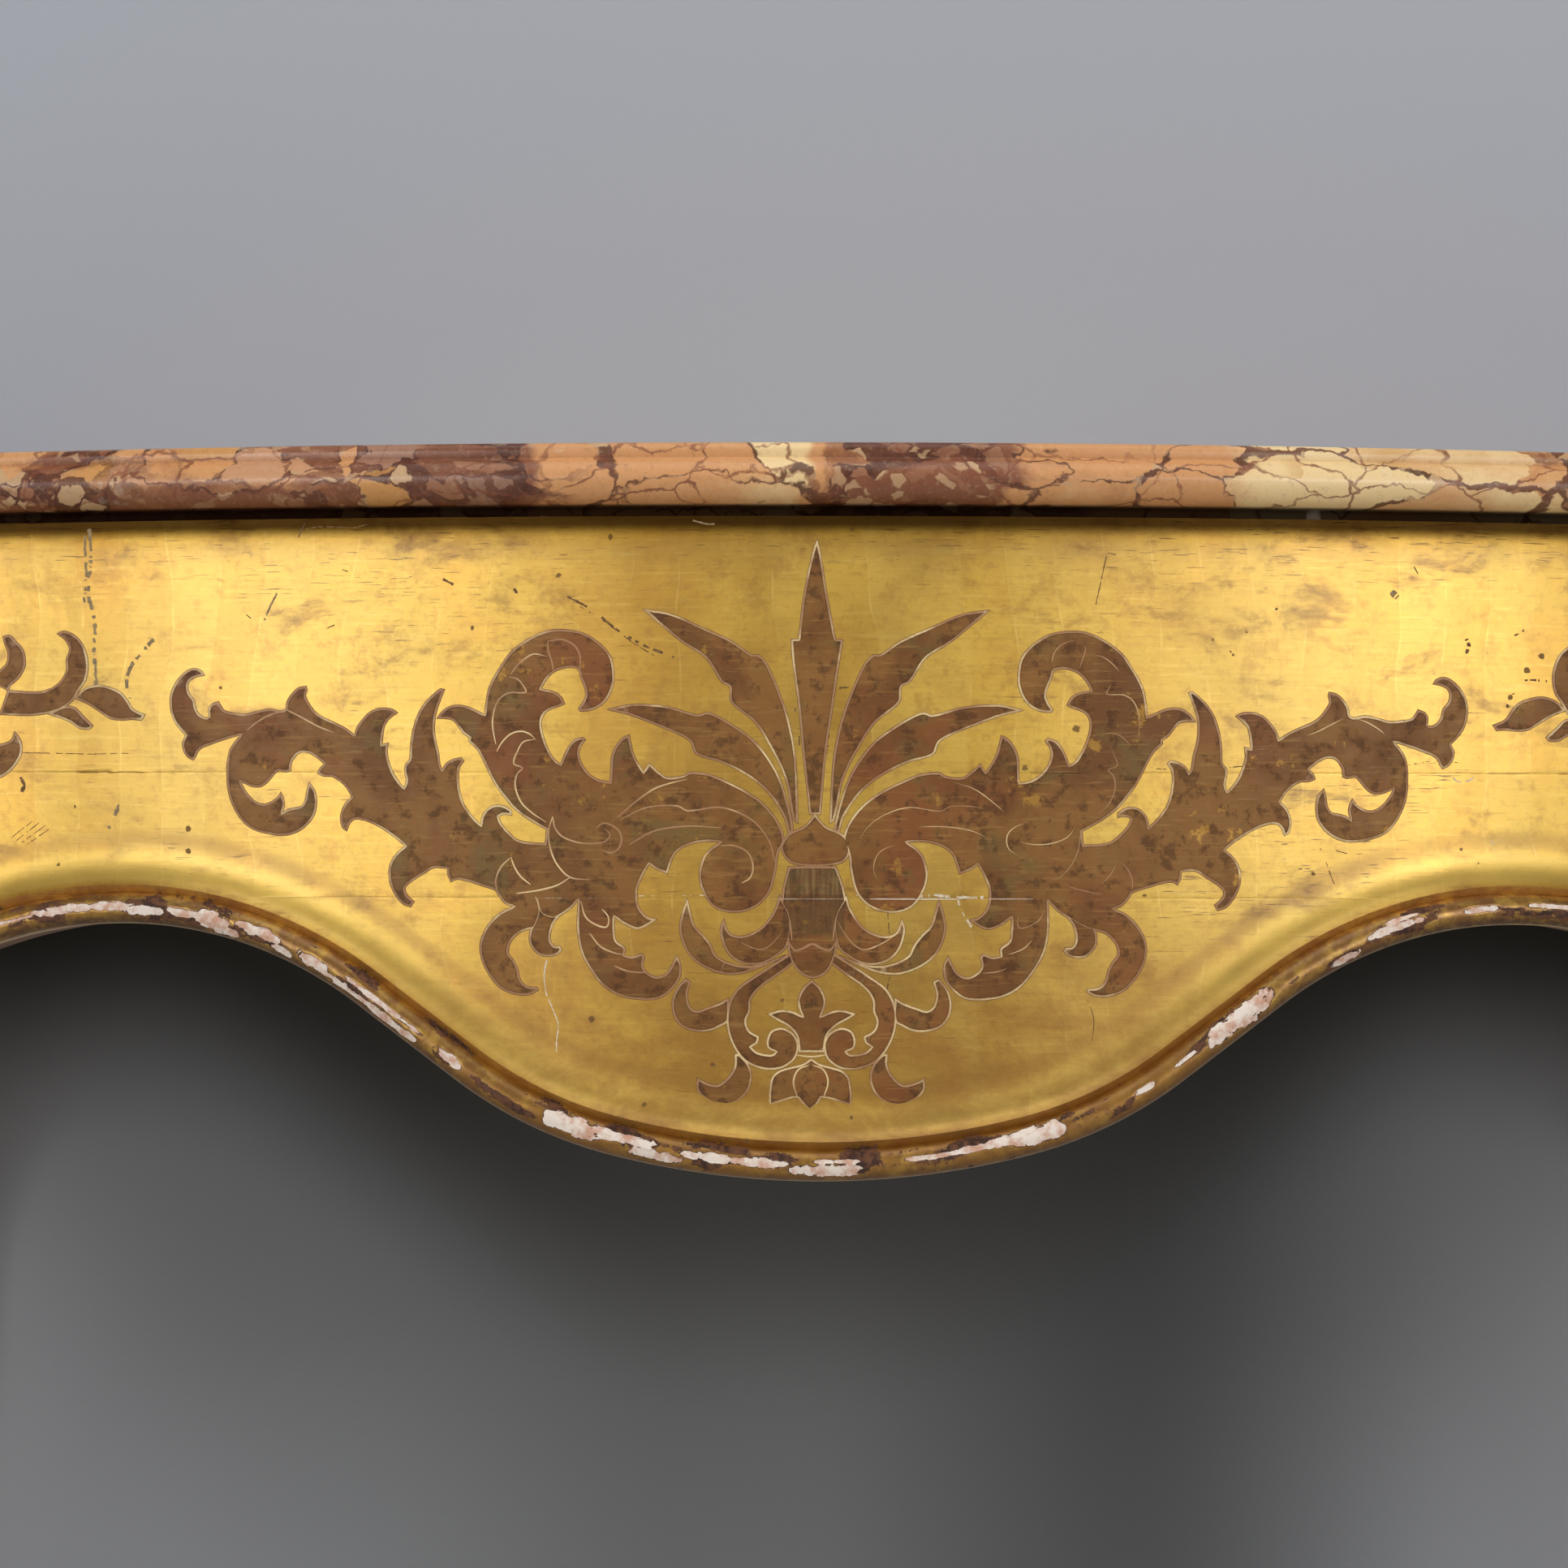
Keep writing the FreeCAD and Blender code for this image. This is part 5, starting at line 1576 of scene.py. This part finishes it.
# %% [markdown]
# Water gilding is laid leaf by leaf over red-brown bole on white gesso. Age brings out all three: laps
# where leaves overlap, a fine level grain from the burnisher, a brown glaze left in the quirk, and losses
# down to bole and gesso on the lip. The stored values say where; noise makes each border ragged.

# %% Gilding
leaf_width = 0.0215
middle_height = (upper_glue_line + lower_glue_line) / 2
drop_middle = 0.014


def opened_glue(f, ragged):
    """Where the glue lines have opened, and which is the lower one, that has a pale filler."""
    opened = f.fade(f.value("crack") + ragged, 0.30, 0.50)
    return opened, f.fade(f.z, middle_height + 0.004, middle_height - 0.004)


def gilding(name, grain_scale):
    f = Finish(name)
    across, bare, leaf = f.value("across"), f.value("bare"), f.value("leaf_place", "Vector")
    along, up, _ = f.parts(leaf)
    fine, flake = f.noise(f.place, 900.0, 3.0), f.noise(f.place, 260.0, 4.0, 0.6)
    grain = f.noise(f.place, (60.0, 60.0, 900.0), 4.0, 0.6)
    patch, cloudy = f.noise(f.place, 14.0, 6.0, 0.62, 0.4), f.noise(f.place, 5.0, 3.0)
    blot = f.noise(f.place, (26.0, 26.0, 48.0), 8.0, 0.72, 0.3)
    mottle = f.noise(f.place, 120.0, 5.0, 0.65)

    # The leaves: a warm tone that drifts, with a lap of double gold where two leaves meet
    f.tone = f.blend(f.fade(patch, 0.34, 0.66), rgb(192, 144, 44), rgb(214, 172, 64))
    f.lay(f.fade(cloudy, 0.42, 0.66, 0.0, 0.35), rgb(166, 132, 52))
    f.lay(f.fade(flake, 0.50, 0.68, 0.0, 0.35), rgb(168, 122, 42))
    leaves = along * (1 / leaf_width) + f.noise(leaf, (3.0, 9.0, 3.0), 2.0) * 1.8
    number = f.sum("FLOOR", leaves)
    chance = f.add("ShaderNodeTexWhiteNoise", {"noise_dimensions": "1D"}, W=number).outputs["Value"]
    f.lay(Value(f, chance) * 0.22, rgb(226, 192, 94))
    lap = f.band(f.sum("FRACT", leaves), 0.0, 0.012, 0.03, 0.055)
    f.lay(lap * f.fade(f.noise(leaf, 45.0, 3.0), 0.42, 0.66, 0.0, 0.22), rgb(244, 212, 124))

    # Brushing, stains and level scratches, which crowd together under the slab
    brushed = f.noise(f.place, (34.0, 34.0, 520.0), 5.0, 0.62, 0.3)
    f.lay(f.fade(brushed, 0.54, 0.72, 0.0, 0.26), rgb(158, 114, 42))
    f.lay(f.fade(brushed, 0.46, 0.32, 0.0, 0.18), rgb(230, 202, 110))
    stain = f.noise(f.place, 60.0, 7.0, 0.72)
    f.lay(f.fade(stain, 0.53, 0.66, 0.0, 0.40), rgb(160, 114, 40))
    f.lay(f.fade(blot, 0.55, 0.67, 0.0, 0.60), rgb(164, 120, 44))
    f.lay(f.fade(blot, 0.66, 0.70, 0.0, 0.5), rgb(134, 86, 34))
    scratch = f.noise(f.place, (75.0, 75.0, 1500.0), 3.0, 0.55, 0.2)
    clusters = f.fade(f.noise(f.place, 11.0, 4.0, 0.6), 0.50, 0.62)
    clusters = f.sum("MAXIMUM", clusters, f.fade(up, frame_top - 0.040, frame_top - 0.008))
    scored = f.fade(scratch, 0.635, 0.70) * (clusters * 0.75 + 0.12)
    f.lay(scored, rgb(128, 86, 40))

    # The glaze over the border, by how far each part of it lies from the flank, with a painted highlight
    # along the hollow and painted shade where the hollow meets the flat
    lip = f.band(across, 0.0, 0.001, 0.0138, 0.0150)
    f.lay(lip * f.fade(mottle, 0.34, 0.60, 0.35, 0.95), rgb(126, 82, 30))
    f.lay(lip * f.fade(across, 0.0050, 0.0020) * f.fade(flake, 0.35, 0.62, 0.25, 0.85), rgb(84, 50, 20))
    quirk = f.band(across, 0.0138, 0.0150, 0.0170, 0.0186)
    f.lay(quirk * f.fade(flake, 0.3, 0.7, 0.35, 0.8), rgb(176, 104, 40))
    # Painted highlight: paler gold along the hollow
    f.lay(f.band(across, 0.0180, 0.0210, 0.0290, 0.0350) * 0.45, rgb(232, 196, 96))
    # Painted shade where the hollow meets the flat
    painted_shade_at_meeting = f.band(across, 0.0320, 0.0375, 0.0390, 0.0450)
    f.lay(painted_shade_at_meeting * f.fade(patch, 0.3, 0.65, 0.10, 0.48), rgb(140, 98, 30))

    # Painted shade: browner gold low on the drop; below the slab smoke with painted shade, and a dark painted
    # shadow right under it
    # Painted shade: browner, darker gold low on the middle of the drop
    low = f.fade(up, 0.705, 0.640) * f.fade(abs(f.x - drop_middle), 0.27, 0.12)
    f.lay(low * f.fade(blot, 0.35, 0.62, 0.25, 0.70), rgb(150, 102, 28))
    smoke_and_shade = f.fade(up, frame_top - 0.026, frame_top - 0.004, 0.0, 0.55)
    f.lay(smoke_and_shade * f.fade(blot, 0.35, 0.6, 0.6, 1.0), rgb(112, 74, 28))
    # Painted shadow: a dark strip right under the slab
    under_slab_shadow = f.fade(up, frame_top - 0.0100, frame_top - 0.0030)
    f.lay(under_slab_shadow * 0.92, rgb(44, 24, 5))

    # A few pin holes
    wobble = f.noise(f.place, 500.0, 2.0, colour=True)
    away, (rare, large, _) = f.cells(f.push(wobble, (0.0022, 0.0, 0.0018), f.place), 130.0)
    reach = f.sum("MULTIPLY_ADD", large, 0.16, 0.05)
    hole = f.fade(f.sum("DIVIDE", away, reach), 1.15, 0.85) * f.fade(rare, 0.945, 0.955)
    f.lay(hole * 0.75, rgb(92, 60, 28))

    # Losses down to the clay and the gesso, opened glue lines, and the bare wood behind
    ragged = (fine - 0.5) * 0.20 + (flake - 0.5) * 0.42
    _, (shell, _, _) = f.cells(f.stretch(f.place, (210.0, 210.0, 330.0)), 1.0)
    gesso = f.value("gesso") + ragged + (shell - 0.5) * 0.30
    bole = f.value("bole") + ragged
    clay = f.sum("MAXIMUM", f.fade(bole, 0.60, 0.66), f.fade(gesso, 0.385, 0.425))
    f.lay(clay, f.blend(f.fade(flake, 0.4, 0.62), rgb(56, 30, 18), rgb(104, 64, 36)))
    chalk = f.blend(f.fade(mottle, 0.36, 0.6), rgb(208, 160, 134), rgb(240, 226, 212))
    chalk = f.blend(f.fade(flake, 0.36, 0.30, 0.0, 0.6), chalk, rgb(150, 104, 78))
    f.lay(f.fade(gesso, 0.475, 0.515), chalk)
    opened, low_line = opened_glue(f, ragged * 0.5)
    pale = low_line * f.fade(f.noise(f.place, 40.0, 3.0), 0.36, 0.46)
    f.lay(opened, f.blend(pale, rgb(92, 60, 30), rgb(226, 208, 180)))
    ring = f.noise(f.place, grain_scale, 5.0, 0.6, 0.6)
    f.lay(bare, f.blend(f.fade(ring, 0.35, 0.65), rgb(84, 58, 38), rgb(128, 92, 60)))

    lost = f.sum("MAXIMUM", f.sum("MAXIMUM", clay, hole), f.sum("MAXIMUM", bare, opened))
    metal = (1.0 - lost) * (1.0 - under_slab_shadow * 0.15)
    rough = f.fade(patch, 0.3, 0.7, 0.38, 0.48) + (1.0 - metal) * 0.35 + f.fade(blot, 0.5, 0.7, 0.0, 0.12)
    bump = f.relief(grain * 0.6 + flake * 0.5 - scored, 0.00014, 0.6)
    # Under the slab the coat and the specular fade out, as part of the painted shadow there
    return f.shade(
        Metallic=metal * 0.80, Roughness=rough, Normal=f.relief(patch, 0.0010, 0.6, Normal=bump),
        Coat_Weight=metal * f.fade(up, frame_top - 0.004, frame_top - 0.016, 0.0, 0.75),
        Coat_Roughness=0.36, Specular_IOR_Level=f.fade(up, frame_top - 0.004, frame_top - 0.018, 0.05, 0.5),
    )


gilded = gilding("worn gilding", (4.0, 4.0, 70.0))
gilded_legs = gilding("worn gilding of the legs", (70.0, 70.0, 4.0))
print("gilding:", len(gilded.node_tree.nodes), "nodes")

# %% [markdown]
# The lacquer of the ornament was brown and is now mottled with olive and with worn gold. Its rim is
# nearly black and the cut line inside it still holds pale gold.

# %% Lacquer and its lines
vase_corners = np.array([(964.0, 1102.0), (1042.0, 1066.0)])


def pale_line(f):
    """The colour of a line cut through lacquer: dull pink-brown, with patches of painted highlight where
    light would catch it.
    """
    bright = f.fade(f.noise(f.place, 30.0, 4.0, 0.6), 0.44, 0.62)
    return f.blend(bright, rgb(172, 128, 90), rgb(232, 202, 148))


def lacquer():
    f = Finish("old lacquer")
    gap = f.value("edge_gap")
    broad, mottle = f.noise(f.place, 22.0, 5.0, 0.6, 0.5), f.noise(f.place, 150.0, 5.0, 0.65)
    rust = f.noise(f.stretch(f.place, (1, 1, 1), (3, 0, 1)), 17.0, 5.0, 0.6)
    olive, fine = f.noise(f.place, 31.0, 6.0, 0.7, 0.3), f.noise(f.place, 900.0, 3.0)
    streak = f.noise(f.place, (60.0, 60.0, 700.0), 4.0, 0.6)
    f.tone = f.blend(f.fade(broad, 0.38, 0.62), rgb(114, 72, 32), rgb(140, 96, 46))
    f.lay(f.fade(rust, 0.50, 0.66, 0.0, 0.6), rgb(132, 74, 38))
    f.lay(f.fade(olive, 0.52, 0.66, 0.0, 0.6), rgb(112, 94, 48))
    f.lay(f.fade(mottle, 0.52, 0.64, 0.0, 0.60), rgb(70, 42, 20))
    f.lay(f.fade(streak, 0.54, 0.70, 0.0, 0.45), rgb(166, 124, 66))
    rubbed = f.fade(f.noise(f.place, 46.0, 6.0, 0.74) + fine * 0.10, 0.665, 0.71)
    f.lay(rubbed * 0.65, rgb(178, 136, 64))

    # The body of the vase is brushed upright and more olive, with a dark ring at its lower edge
    (left, _, low), (right, _, high) = on_front(vase_corners, np.zeros(2)).tolist()
    half = (right - left) / 2
    vase = f.fade(abs(f.x - (left + right) / 2), half, half - 0.001) * f.fade(f.z, high, high - 0.001)
    brushed = f.noise(f.place, (700.0, 60.0, 60.0), 4.0, 0.6)
    vase_tone = f.blend(f.fade(brushed, 0.38, 0.62), rgb(84, 66, 38), rgb(132, 112, 68))
    vase_tone = f.blend(f.fade(f.z, low + 0.0004, low - 0.0004, 0.0, 0.7), vase_tone, rgb(76, 46, 22))
    vase = vase * f.fade(f.z, low - 0.020, low - 0.016)
    f.lay(vase * f.fade(mottle, 0.3, 0.6, 0.9, 0.5), vase_tone)

    # A dark band inside the cut line, the line itself, and the rim outside it
    shaky = gap + (mottle - 0.5) * 1.4
    f.lay(f.band(shaky, 1.6, 2.2, 2.6, 3.6) * 0.4, rgb(58, 34, 18))
    cut = f.band(shaky, -0.85, -0.35, 1.65, 2.25)
    f.lay(cut * f.fade(fine, 0.3, 0.6, 0.75, 1.0), pale_line(f))
    f.lay(f.fade(shaky, -0.35, -0.85) * 0.75, rgb(84, 52, 26))

    # The opened glue lines
    opened, low_line = opened_glue(f, (fine - 0.5) * 0.3)
    f.lay(opened, f.blend(low_line, rgb(48, 30, 18), rgb(222, 204, 180)))
    return f.shade(
        Metallic=rubbed * 0.6, Roughness=f.fade(mottle, 0.3, 0.7, 0.44, 0.60),
        Normal=f.relief(mottle + streak, 0.00015, 0.6), Specular_IOR_Level=0.22,
    )


def engraving(material):
    f = Finish("engraved line", material)
    f.tone = pale_line(f)
    return f.shade(Roughness=0.55, Specular_IOR_Level=0.3)


def scar(kind, tone, other):
    f = Finish(kind, scar_finishes[kind])
    f.tone = f.blend(f.fade(f.noise(f.place, 420.0, 4.0, 0.65), 0.40, 0.60), tone, other)
    return f.shade(Roughness=0.7)


inlay_lacquer = lacquer()
engraving(engraved_gold)
scar("brown", rgb(84, 54, 24), rgb(128, 90, 44))
scar("grey", rgb(132, 110, 76), rgb(160, 134, 90))
scar("pale", rgb(202, 176, 132), rgb(226, 210, 184))

# %% [markdown]
# The top is breccia: broken purple and brown stone healed with peach and cream. Voronoi cells are the
# fragments, warped by noise so no edge is straight, with finer rubble in the seams between large ones.
# A slow drift along X makes the left end darker, as in the photograph.

# %% Marble
# Along the block, in metres: how light the stone is there, from purple-brown at 0 to cream at 1
block_zones = [
    (-0.62, 0.42), (-0.37, 0.30), (-0.22, 0.22), (-0.150, 0.16), (-0.128, 0.60), (-0.030, 0.74),
    (-0.012, 0.80), (0.000, 0.26), (0.062, 0.22), (0.082, 0.62), (0.180, 0.64), (0.215, 0.84),
    (0.350, 0.86), (0.450, 0.40), (0.62, 0.55),
]
block_half = block_zones[-1][0]


def marble():
    f = Finish("breccia marble")

    def bent(place, scale, reach):
        """The place pushed about by noise, by at most half of reach."""
        shift = f.stretch(place, (1, 1, 1), (0.5 * -reach,) * 3)
        return f.push(f.noise(place, scale, 5.0, 0.6, colour=True), (reach,) * 3, shift)

    # How light the stone is: its zone, then each fragment's own chance
    broad = bent(f.place, 9.0, 0.05)
    rough = f.stretch(bent(broad, 70.0, 0.010), (0.8, 1.0, 1.35))
    x, y, _ = f.parts(broad)
    drift = f.noise(f.place, 3.2, 3.0) - 0.38
    skew = x + (y + 0.26) * (drift * 5.0)
    ramp = f.add("ShaderNodeValToRGB", Fac=f.fade(skew, -block_half, block_half, how="LINEAR"))
    stops = ramp.color_ramp.elements
    while len(stops) < len(block_zones):
        stops.new(0.5)
    for stop, (where, light) in zip(stops, block_zones):
        stop.position = (where + block_half) / (2 * block_half)
        stop.color = (light, light, light, 1)
    _, (hue, _, _) = f.cells(rough, 15.0)
    _, (mid_hue, mid_kind, _) = f.cells(rough, 46.0)
    _, (small_hue, small_kind, _) = f.cells(rough, 130.0)
    mist, dust = f.noise(rough, 40.0, 6.0, 0.7, 0.3), f.noise(f.place, 380.0, 4.0, 0.7)
    packed = f.fade(f.noise(broad, 8.0, 3.0), 0.47, 0.56)
    light = Value(f, ramp.outputs["Color"]) + (hue - 0.5) * 0.34
    light = light + (mid_hue - 0.5) * (packed * 0.42) + (mist - 0.5) * 0.30
    f.tone = f.blend(f.fade(light, 0.05, 0.30), rgb(94, 50, 32), rgb(138, 84, 56))
    f.lay(f.fade(light, 0.34, 0.50), rgb(212, 152, 98))
    f.lay(f.fade(light, 0.62, 0.86), rgb(240, 208, 152))
    f.lay(f.fade(mid_kind, 0.86, 0.88) * (packed * 0.6), rgb(200, 144, 74))
    f.lay(f.fade(mid_kind, 0.12, 0.10) * (packed * 0.5), rgb(186, 142, 116))

    # Seams of dark ground between the fragments, with small pale shards in them
    width = f.fade(f.noise(rough, 14.0, 4.0, 0.6), 0.42, 0.66, 0.008, 0.17)
    matrix = f.fade(f.cell_edge(rough, 46.0) - width, 0.012, -0.004) * (packed * f.fade(light, 0.70, 0.45))
    seam_noise = f.noise(f.stretch(rough, (1, 1, 1), (2, 1, 0)), 10.0, 4.0, 0.6)
    seam_width = f.fade(seam_noise, 0.44, 0.70, 0.004, 0.13) * f.fade(light, 0.75, 0.30, 0.30, 1.0)
    matrix = f.sum("MAXIMUM", matrix, f.fade(f.cell_edge(rough, 15.0) - seam_width, 0.010, -0.002))
    ground = f.blend(f.fade(mist, 0.35, 0.65), rgb(78, 40, 26), rgb(112, 64, 42))
    shard = f.fade(small_hue, 0.60, 0.62) * f.fade(f.cell_edge(rough, 130.0), 0.05, 0.12)
    chips = f.blend(f.fade(small_kind, 0.3, 0.7), rgb(160, 108, 76), rgb(208, 170, 126))
    f.lay(shard * f.fade(light, 0.40, 0.28) * 0.62, chips)
    f.lay(matrix * 0.92, f.blend(shard * 0.85, ground, chips))

    # Hair veins, rust and dust, then painted shade in the recess under the nosing, and the chips on the edge
    hair = f.cell_edge(f.stretch(rough, (1.0, 1.0, 1.0), (4, 2, 1)), 26.0)
    f.lay(f.fade(hair, 0.026, 0.006) * f.fade(mist, 0.35, 0.60, 0.25, 0.9), rgb(132, 74, 48))
    f.lay(f.fade(f.noise(rough, 24.0, 5.0, 0.65), 0.64, 0.74, 0.0, 0.6), rgb(186, 104, 52))
    f.lay(f.fade(dust, 0.52, 0.75, 0.0, 0.22), rgb(224, 194, 154))
    f.lay(f.fade(dust, 0.46, 0.28, 0.0, 0.22), rgb(84, 48, 32))
    # Painted shade: the recess under the nosing is painted nearly black, and its specular is taken out
    under = f.fade(f.z, nose_bottom + 0.0010, nose_bottom - 0.0002)
    f.lay(under * 0.96, rgb(24, 12, 6))
    f.lay(f.fade(f.value("edge_chip"), 0.40, 0.48) * 0.15, rgb(232, 214, 190))
    return f.shade(
        Roughness=f.fade(mist, 0.3, 0.7, 0.30, 0.42), Normal=f.relief(mist + dust, 0.0002, 0.30),
        Specular_IOR_Level=f.sum("MULTIPLY_ADD", under, -0.4, 0.4),
    )


stone = marble()
print("marble:", len(stone.node_tree.nodes), "nodes")

# %% [markdown]
# Behind the gilding the table is plain old wood, seen from the back and from below. Those parts are the
# CAD part's own solids, and keep their shape; they only get a finish.

# %% Old wood
def old_wood(name, dark, light, along, tightness=60.0):
    f = Finish(name)
    scale = tuple(3.0 if axis == along else tightness for axis in range(3))
    ring = f.noise(f.place, scale, 6.0, 0.62, 1.2)
    pore = f.noise(f.place, tuple(s * 9.0 for s in scale), 3.0)
    dirt = f.noise(f.place, 9.0, 4.0)
    f.tone = f.blend(f.fade(ring, 0.34, 0.66), dark, light)
    f.lay(f.fade(pore, 0.58, 0.72, 0.0, 0.5), tuple(c * 0.35 for c in dark))
    f.lay(f.fade(dirt, 0.45, 0.7, 0.0, 0.5), tuple(c * 0.5 for c in dark))
    return f.shade(Roughness=0.72, Normal=f.relief(ring + pore, 0.0006, 0.5))


def foot_gold():
    f = Finish("worn foot gilding")
    rub, mottle = f.noise(f.place, 60.0, 6.0, 0.7, 0.4), f.noise(f.place, 300.0, 4.0, 0.6)
    f.tone = f.blend(f.fade(mottle, 0.35, 0.65), rgb(176, 132, 58), rgb(214, 172, 84))
    # The foot is darker on its lowest few millimetres
    clay, darker_foot_bottom = f.fade(rub, 0.52, 0.58), f.fade(f.z, 0.006, 0.001)
    f.lay(clay, rgb(82, 50, 34))
    f.lay(darker_foot_bottom, rgb(60, 44, 34))
    return f.shade(
        Metallic=(1.0 - f.sum("MAXIMUM", clay, darker_foot_bottom)) * 0.8, Roughness=f.fade(rub, 0.4, 0.6, 0.4, 0.7),
        Normal=f.relief(rub, 0.0005, 0.6),
    )


# The first word found in a node's name gives its finish
kept_finish = {
    "peg": old_wood("peg wood", rgb(118, 84, 52), rgb(176, 138, 92), 1, 240.0),
    "back_rail": old_wood("old wood along x", rgb(92, 64, 42), rgb(150, 112, 74), 0),
    "bearer": old_wood("old wood along y", rgb(88, 62, 42), rgb(144, 108, 72), 1),
    "batten": old_wood("old wood upright", rgb(94, 66, 44), rgb(146, 110, 74), 2),
    "foot": foot_gold(),
}

# %% [markdown]
# ## Dressing the frame
# Each new piece rides on the table's one body and says which CAD solid it stands for. The solids that are
# right as they are keep their shape and only get their finish.

# %% Pieces and what they replace
def dress(piece, material, slot, *replaced):
    """Give a piece its finish, its body and the CAD nodes it stands for. The slot is not used."""
    if material:
        piece.data.materials.clear()
        piece.data.materials.append(material)
    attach(piece, "root")
    if replaced:
        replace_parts(piece, *replaced)


for board, layer in zip(front_boards, ("lower", "middle", "upper")):
    dress(board, gilded, "gilded_wood", f"front_apron_{layer}_board")
for name, board in side_boards.items():
    dress(board, gilded, "gilded_wood", f"{name}_board")
for node, leg in legs.items():
    dress(leg, gilded_legs, "gilded_wood", node)
dress(slab, stone, "marble", "marble_slab")
for inlay in inlays:
    dress(inlay, inlay_lacquer, "gilded_wood")
for lines in relief_lines:
    dress(lines, None, "gilded_wood")

replaced = {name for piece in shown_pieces() for name in piece.get("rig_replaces", [])}
for name, node in nodes.items():
    if name not in replaced:
        finish = next(material for word, material in kept_finish.items() if word in name)
        for slot in node.material_slots:
            slot.material = finish
        print(name, "keeps its solid, in", finish.name)

# %% [markdown]
# ## Light, floor and wall
# Two large soft lamps stand left and right of the camera, a weak one hangs above, and the room is a pale
# grey. Gold shows mostly what it mirrors, so two cards beside the camera, seen only as reflections, set
# where the bow is bright. The floor is large because the low camera sees far along it under the table.
# The wall carries a painted shadow just under the apron, and painted shade darkening its lower part, as in
# the photograph.

# %% Studio
def plain_sheet(name, corners, f, **sockets):
    """A flat sheet of the studio, seen from its front only, so a look from behind isn't blocked."""
    finish = f.shade(**sockets)
    clear = f.add("ShaderNodeBsdfTransparent").outputs[0]
    backfacing = f.add("ShaderNodeNewGeometry").outputs["Backfacing"]
    f.feed(f.output.inputs["Surface"], f.mix_shaders(backfacing, f.shader.outputs[0], clear))
    mesh = bpy.data.meshes.new(name)
    mesh.from_pydata(corners, [], [(0, 1, 2, 3)])
    mesh.materials.append(finish)
    sheet = add_object(name, mesh)
    sheet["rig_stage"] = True
    return sheet


f = Finish("pale floor")
f.tone = f.blend(f.noise(f.place, 0.6, 2.0), rgb(198, 197, 194), rgb(204, 203, 200))
seen_by_camera = Value(f, f.add("ShaderNodeLightPath").outputs["Is Camera Ray"])
plain_sheet(
    "floor", [(-30, -8, 0), (30, -8, 0), (30, 30, 0), (-30, 30, 0)], f,
    Roughness=0.8, Emission_Color=rgb(214, 213, 210), Emission_Strength=seen_by_camera * 0.35,
)

f = Finish("grey wall")
upper = f.blend(f.noise(f.place, 1.2, 3.0), rgb(174, 179, 188), rgb(178, 183, 192))
# Painted shade: the wall darkens towards the bottom
f.tone = f.blend(f.fade(f.z, 0.40, 0.78), rgb(124, 126, 128), upper)
# Painted shadow of the table on the wall just under the apron, darkest right below it and heavier right of
# the drop
drop = f.fade(abs(f.x + 0.01), 0.42, 0.06)
heavy_shadow = f.fade(abs(f.x - 0.21), 0.22, 0.0, 0.0, 0.65)
below = f.sum("MULTIPLY_ADD", drop, -0.165, 0.665) - f.z
open_painted_shadow = f.blend(heavy_shadow, f.blend(drop, rgb(184, 187, 192), rgb(131, 132, 133)), rgb(56, 56, 56))
deep_painted_shadow = f.blend(drop, rgb(60, 57, 51), rgb(90, 89, 86))
painted_shadow_area = f.fade(abs(f.x), 0.74, 0.50) * f.fade(f.z, 0.84, 0.72)
f.lay(painted_shadow_area, f.blend(f.fade(below, 0.0, 0.155), deep_painted_shadow, open_painted_shadow))
wall_y, end, top = cad_box[1][1] + 0.003, 14, 6
wall = plain_sheet(
    "wall", [(-end, wall_y, 0), (end, wall_y, 0), (end, wall_y, top), (-end, wall_y, top)], f, Roughness=0.9
)
wall.visible_shadow = wall.visible_diffuse = wall.visible_glossy = False


def lamp(name, place, aim, size, power):
    """A square soft lamp facing a point."""
    data = bpy.data.lights.new(name, "AREA")
    data.shape, data.size, data.energy = "SQUARE", size, power
    light = add_object(name, data)
    light.location = place
    light.rotation_euler = (Vector(aim) - Vector(place)).to_track_quat("-Z", "Y").to_euler()
    return light


aim = (0, 0, 0.72)
lamp("left soft lamp", (-1.25, -2.10, 1.75), aim, 1.1, 19).visible_glossy = False
lamp("right soft lamp", (1.25, -2.10, 1.75), aim, 1.1, 19).visible_glossy = False
lamp("overhead lamp", (0, -0.9, 2.8), (0, 0, 0.8), 1.6, 13)
lamp("left card", (-1.20, -2.10, 0.98), aim, 0.75, 15).visible_diffuse = False
lamp("right card", (1.28, -2.10, 0.98), aim, 0.75, 15).visible_diffuse = False

# The camera sees a plain grey room. Its light is weaker from the front than from behind
world = bpy.data.worlds.new("room")
bpy.context.scene.world = world
world.use_nodes = True
room = Graph(world.node_tree)
_, towards_wall, _ = room.parts(room.add("ShaderNodeTexCoord").outputs["Generated"])
level = room.fade(towards_wall, -0.5, 0.5, 0.21, 0.42, how="LINEAR")
given = room.add("ShaderNodeBackground", Color=(1.0, 1.0, 1.015), Strength=level).outputs[0]
seen = room.add("ShaderNodeBackground", Color=rgb(168, 172, 180), Strength=1.0).outputs[0]
camera_ray = room.add("ShaderNodeLightPath").outputs["Is Camera Ray"]
room.add("ShaderNodeOutputWorld", Surface=room.mix_shaders(camera_ray, given, seen))
bpy.context.scene.view_settings.view_transform = "Standard"

# %% Sizes at the end
dressed_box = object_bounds()
boxes = {"cad": [list(corner) for corner in cad_box], "visual": [list(corner) for corner in dressed_box]}
print("cad box", boxes["cad"])
print("visual box", boxes["visual"])
